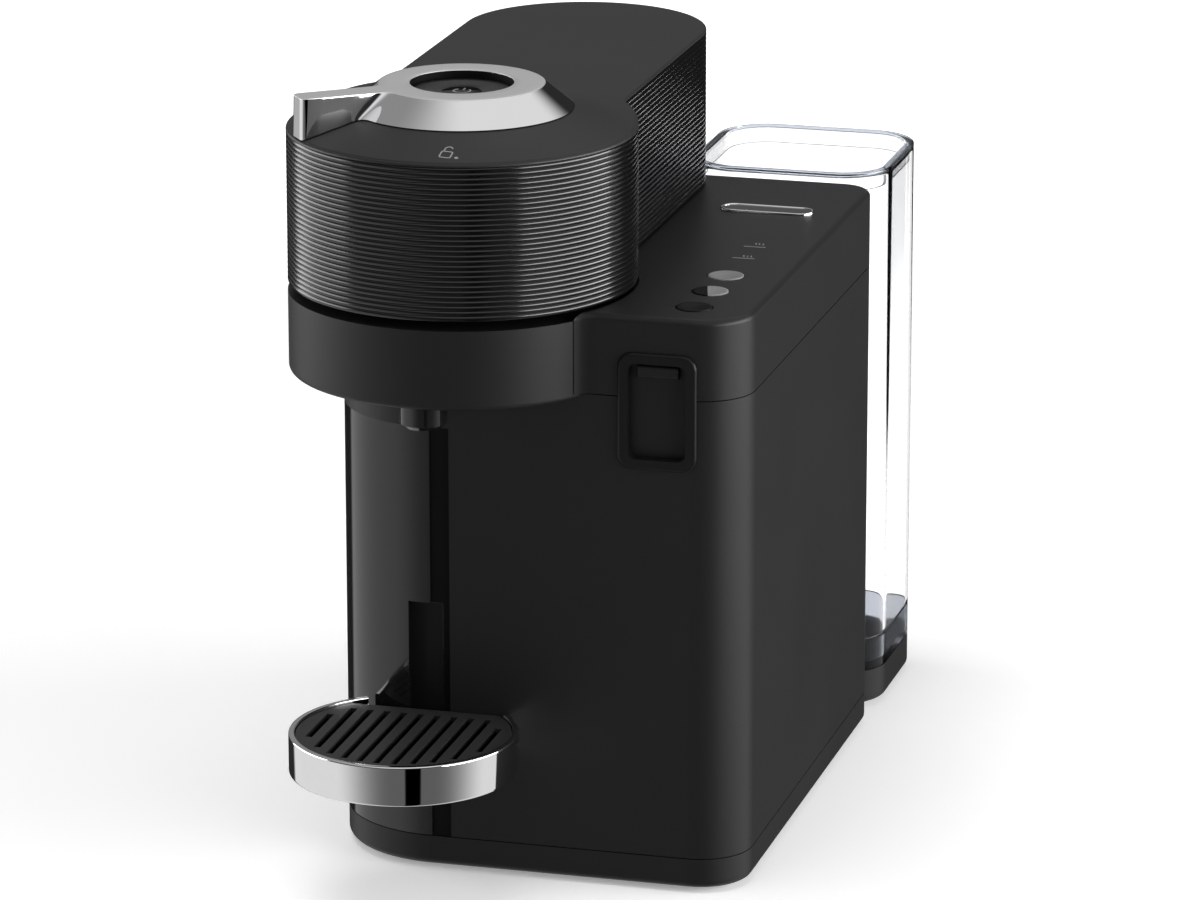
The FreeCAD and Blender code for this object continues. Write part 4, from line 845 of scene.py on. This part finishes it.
class MACHINE_OT_tank(bpy.types.Operator):
    """Clear wall of the water tank, and its lid with a thick rim"""
    bl_idname = "coffee.tank"
    bl_label = "Water tank"

    def execute(self, context):
        low, high = box_mm("water_tank")
        corner, wall, edges = 22.0, 2.4, [0.3, 0.8, 0.8, 0.3]
        path, normal, _ = even_path(rounded_plan(low[0], high[0], low[1], high[1], corner), 240)
        side = rounded_profile([(0, low[2]), (0, high[2]), (-wall, high[2]), (-wall, low[2])], edges)
        mesh = grid_mesh("tank_wall", swept(path, normal, side), True, True)
        add_piece("tank_wall", mesh, finish_for("clear_tank"), "tank", "clear_tank", "water_tank")
        lid_low, lid_high = box_mm("tank_lid")
        skirt_low, under, top = lid_low[2], lid_high[2] - 2.0, lid_high[2]
        border, border_gap, skirt_gap, skirt_inset = 3.4, 0.05, 0.5, 2.0
        rim = rounded_profile([(0, under), (0, top), (-border, top), (-border, under)], edges)
        mesh = grid_mesh("tank_lid_rim", swept(path, normal, rim), True, True)
        # the rim takes the darker tinted clear finish, which paints the shade of its edges
        add_piece("tank_lid_rim", mesh, finish_for("rim_tank_edge_shade"), "tank_lid", "clear_tank", "tank_lid")
        middle = np.array([(low[0] + high[0]) / 2, (low[1] + high[1]) / 2])
        inner = path - normal * (border + border_gap)
        heart = np.broadcast_to(middle, inner.shape)
        skirt = path - normal * (wall + skirt_gap)
        lining = path - normal * (wall + skirt_inset)
        low_face, high_face = under + 0.2, top - 0.7
        points = layered(
            [heart, lining, lining, skirt, skirt, inner, inner, heart],
            [low_face, low_face, skirt_low, skirt_low, low_face, low_face, high_face, high_face])
        mesh = grid_mesh("tank_lid_panel", points)
        add_piece("tank_lid_panel", mesh, finish_for("clear_tank"), "tank_lid", "clear_tank")
        return {"FINISHED"}


class MACHINE_OT_marks(bpy.types.Operator):
    """Small printed marks: a padlock on the lid, a stand-by sign on the button and two signs by the lights"""
    bl_idname = "coffee.marks"
    bl_label = "Printed marks"

    def execute(self, context):
        lock = np.array([-16.5, HEAD[1] - 59.2])
        lock_half, sign_half, wave_half = 0.3, 0.32, 0.16
        shackle = np.vstack([[(-1.5, 0.6)], np.array([1.5, 2.0]) * arc((0, 1.1), 1, 180, 20, 16)])
        case = rounded_profile([(-2.2, -4.0), (2.2, -4.0), (2.2, 0.6), (-2.2, 0.6)], [0.8] * 4, 5)
        dot = np.array([4.6, -3.2]) + arc((0, 0), 0.4, 0, 330, 12)

        def on_roof(plan):
            return roof_height(plan[..., 0], plan[..., 1])

        stroke("mark_lock_case", lock + case, lock_half, on_roof, "lid", True)
        stroke("mark_lock_bow", lock + shackle, lock_half, on_roof, "lid", False)
        stroke("mark_lock_dot", lock + dot, 0.4, on_roof, "lid", True)
        on_button = level_at(BUTTON_HIGH[2] - 1.1)
        ring = HEAD + arc((0, 0), 3.4, 130, 410, 40)
        bar = HEAD + np.array([(0, 1.6), (0, 4.4)])
        stroke("mark_standby_ring", ring, sign_half, on_button, "brew_button", False)
        stroke("mark_standby_bar", bar, sign_half, on_button, "brew_button", False)
        low, high = box_mm("indicator_lenses")
        on_deck = level_at(high[2] - 0.1)
        middle = (low[0] + high[0]) / 2
        wave = np.linspace(0, 1, 14)
        sway, rise, pitch = 0.35, 2.6, 1.5
        for name, y in (("near", low[1]), ("far", high[1])):
            for k in range(3):
                x = middle - 0.6 + pitch * k
                line = np.stack([x + sway * np.sin(wave * 2 * np.pi), y + 3.0 + rise * wave], -1)
                stroke(f"mark_{name}_{k}", line, wave_half, on_deck, "housing", False)
        return {"FINISHED"}


def level_at(height):
    """Surface height that is the same at every point of a plan."""
    return lambda plan: np.full(plan.shape[:-1], height)


def stroke(name, line, half, height, body, closed):
    """Printed stroke: a flat strip of a half width along a plan line, a hair above the surface height under it."""
    along = np.gradient(line, axis=0)
    if closed:
        along = np.roll(line, -1, 0) - np.roll(line, 1, 0)
    across = np.stack([along[:, 1], -along[:, 0]], -1)
    across /= np.linalg.norm(across, axis=1, keepdims=True)
    side = np.array([-half, -half, half, half])[None, :, None]
    sunk, proud = -0.05, 0.03
    lift = np.array([sunk, proud, proud, sunk])[None, :]
    plan = line[:, None] + across[:, None] * side
    points = np.concatenate([plan, (height(plan) + lift)[..., None]], -1)
    if not closed:
        points = capped(points)
    add_piece(name, grid_mesh(name, points, closed, True), finish_for("mark"), body, "button_grey")


class MACHINE_OT_stage(bpy.types.Operator):
    """Floor, light, background and camera"""
    bl_idname = "coffee.stage"
    bl_label = "Stage"

    def execute(self, context):
        stage = context.scene.machine_stage
        make_floor()
        make_world(context.scene, stage.ambient)
        soft_box("left_box", (-1.6, -0.06, 0.45), (0, -0.03, 0.2), 1.66, 0.85, stage.key_power)
        soft_box("right_box", (1.6, -0.07, 0.42), (0, 0.0, 0.16), 2.35, 0.8, stage.side_power)
        lamp = soft_box("top_box", (-0.3, -0.3, 1.9), (0, 0.0, 0.25), 1.4, 1.2, stage.top_power)
        lamp.visible_glossy = False
        make_camera(context.scene, stage.lens)
        context.scene.view_settings.view_transform = "Standard"
        return {"FINISHED"}


def make_floor():
    """Wide pale floor that keeps the shadow of the machine near it and is white farther off."""
    reach, near_glow = 4000, 0.26
    side = np.linspace(-reach, reach, 9)
    x, y = np.meshgrid(side, side, indexing="ij")
    mesh = grid_mesh("floor", np.stack([x, y, np.zeros_like(x)], -1), False, False)
    if mesh.polygons[0].normal.z < 0:
        mesh.flip_normals()
    floor = bpy.data.objects.new("floor", mesh)
    floor.visible_glossy = False
    bpy.context.scene.collection.objects.link(floor)
    finish = Finish("pale floor")
    paper = finish.noise(1.5, 3.0)
    colour = finish.tint(paper, (0.93, 0.93, 0.93, 1), (0.95, 0.95, 0.95, 1))
    shade = finish.node("ShaderNodeBsdfDiffuse", None, {"Color": colour})
    x, y = finish.axis("X"), finish.axis("Y")
    far = finish.step((x * x + y * y) * MM ** 2, 0.4, 1.6)
    strength = (near_glow + (1 - near_glow) * far) * finish.seen()
    glow = finish.node("ShaderNodeEmission", None, {"Strength": strength})
    both = finish.node("ShaderNodeAddShader", None, {0: shade, 1: glow})
    finish.node("ShaderNodeOutputMaterial", None, {"Surface": both})
    mesh.materials.append(finish.owner)


def make_world(scene, ambient):
    """Pale to the camera and through clear pieces, a studio in reflections, and even soft light otherwise.

    The studio is pale overhead, less so to the left. Low down it is white at the sides, falls to grey towards the
    front with one black gap there, and is dark behind. Above the horizon it is grey at the rear left."""
    world = bpy.data.worlds.new("studio")
    scene.world = world
    finish = Finish(world)
    direction = finish.node("ShaderNodeTexCoord", output="Generated")
    x, y, z = [finish.node("ShaderNodeSeparateXYZ", None, {0: direction}, axis) for axis in "XYZ"]
    rear = finish.step(y - 0.16 * x, 0.62, 0.7)
    high = finish.step(z, -0.04, 0.04)
    over = finish.step(z, 0.32, 0.65)
    left = 1 - finish.step(x, -0.24, -0.1)
    top = 0.32 + 0.64 * finish.step(x, -0.6, 0.05)
    gap_turn = math.radians(26)
    level = x * x + y * y
    facing = (x * math.sin(gap_turn) - y * math.cos(gap_turn)) / level ** 0.5
    gap = finish.step(facing, 0.988, 0.993) * (1 - high)
    floor = 0.12 + 0.85 * (1 - finish.step(facing, 0.15, 0.96))
    back = 0.27 * finish.step(y, 0.3, 0.6) * high * left * (1 - over)
    room = (1 - gap) * (0.03 + floor * (1 - rear) * (1 - high)) + back + top * over
    seen = finish.seen()
    mirrored = finish.light_path("Is Glossy Ray").maximum(1 - finish.straight())
    strength = seen + (1 - seen) * (mirrored * room + (1 - mirrored) * ambient)
    light = finish.node("ShaderNodeBackground", None, {"Strength": strength})
    finish.node("ShaderNodeOutputWorld", None, {"Surface": light})


def soft_box(name, place, target, width, height, power):
    """Rectangular area light that faces a target."""
    light = bpy.data.lights.new(name, "AREA")
    light.shape = "RECTANGLE"
    light.size = width
    light.size_y = height
    light.energy = power
    lamp = bpy.data.objects.new(name, light)
    lamp.location = place
    aim = np.subtract(target, place)
    flat = math.hypot(aim[0], aim[1])
    lamp.rotation_euler = (math.atan2(flat, -aim[2]), 0, math.atan2(-aim[0], aim[1]))
    bpy.context.scene.collection.objects.link(lamp)
    return lamp


def make_camera(scene, lens):
    """Camera at the viewing angle of the photograph."""
    tilt_down, turn = 16.28, 15.14
    data = bpy.data.cameras.new("camera")
    data.sensor_fit = "HORIZONTAL"
    data.sensor_width = 36.0
    data.lens = lens
    data.shift_x = -0.0111
    data.clip_end = 50.0
    camera = bpy.data.objects.new("camera", data)
    camera.location = (0.66239, -2.40587, 0.87340)
    camera.rotation_euler = (math.radians(90 - tilt_down), 0, math.radians(turn))
    scene.collection.objects.link(camera)
    scene.camera = camera


class MACHINE_PT_panel(bpy.types.Panel):
    """Steps and settings of the machine"""
    bl_idname = "MACHINE_PT_panel"
    bl_label = "Coffee machine"
    bl_space_type = "VIEW_3D"
    bl_region_type = "UI"
    bl_category = "Coffee machine"

    def draw(self, context):
        for step in STEPS:
            self.layout.operator(step.bl_idname)
        for group in GROUPS:
            settings = getattr(context.scene, group)
            for name in GROUPS[group].__annotations__:
                self.layout.prop(settings, name)


STEPS = (MACHINE_OT_finishes, MACHINE_OT_sleeve, MACHINE_OT_roof, MACHINE_OT_lever, MACHINE_OT_brew_button,
         MACHINE_OT_cup_support, MACHINE_OT_gap_shade, MACHINE_OT_recipe_buttons, MACHINE_OT_trim_plate,
         MACHINE_OT_tank, MACHINE_OT_marks, MACHINE_OT_stage)
GROUPS = {
    "machine_sizes": MACHINE_PG_sizes,
    "machine_colours": MACHINE_PG_colours,
    "machine_stage": MACHINE_PG_stage,
}


def register():
    for item in (*GROUPS.values(), *STEPS, MACHINE_PT_panel):
        bpy.utils.register_class(item)
    for name, group in GROUPS.items():
        setattr(bpy.types.Scene, name, bpy.props.PointerProperty(type=group))


def unregister():
    for name in GROUPS:
        delattr(bpy.types.Scene, name)
    for item in reversed((*GROUPS.values(), *STEPS, MACHINE_PT_panel)):
        bpy.utils.unregister_class(item)


def main():
    """Run every step in order."""
    register()
    bpy.ops.coffee.finishes()
    bpy.ops.coffee.sleeve()
    bpy.ops.coffee.roof()
    bpy.ops.coffee.lever()
    bpy.ops.coffee.brew_button()
    bpy.ops.coffee.cup_support()
    # dark strip of painted shade in the groove beside the column
    bpy.ops.coffee.column()
    bpy.ops.coffee.recipe_buttons()
    bpy.ops.coffee.trim_plate()
    bpy.ops.coffee.tank()
    bpy.ops.coffee.marks()
    bpy.ops.coffee.stage()


if __name__ == "__main__":
    main()
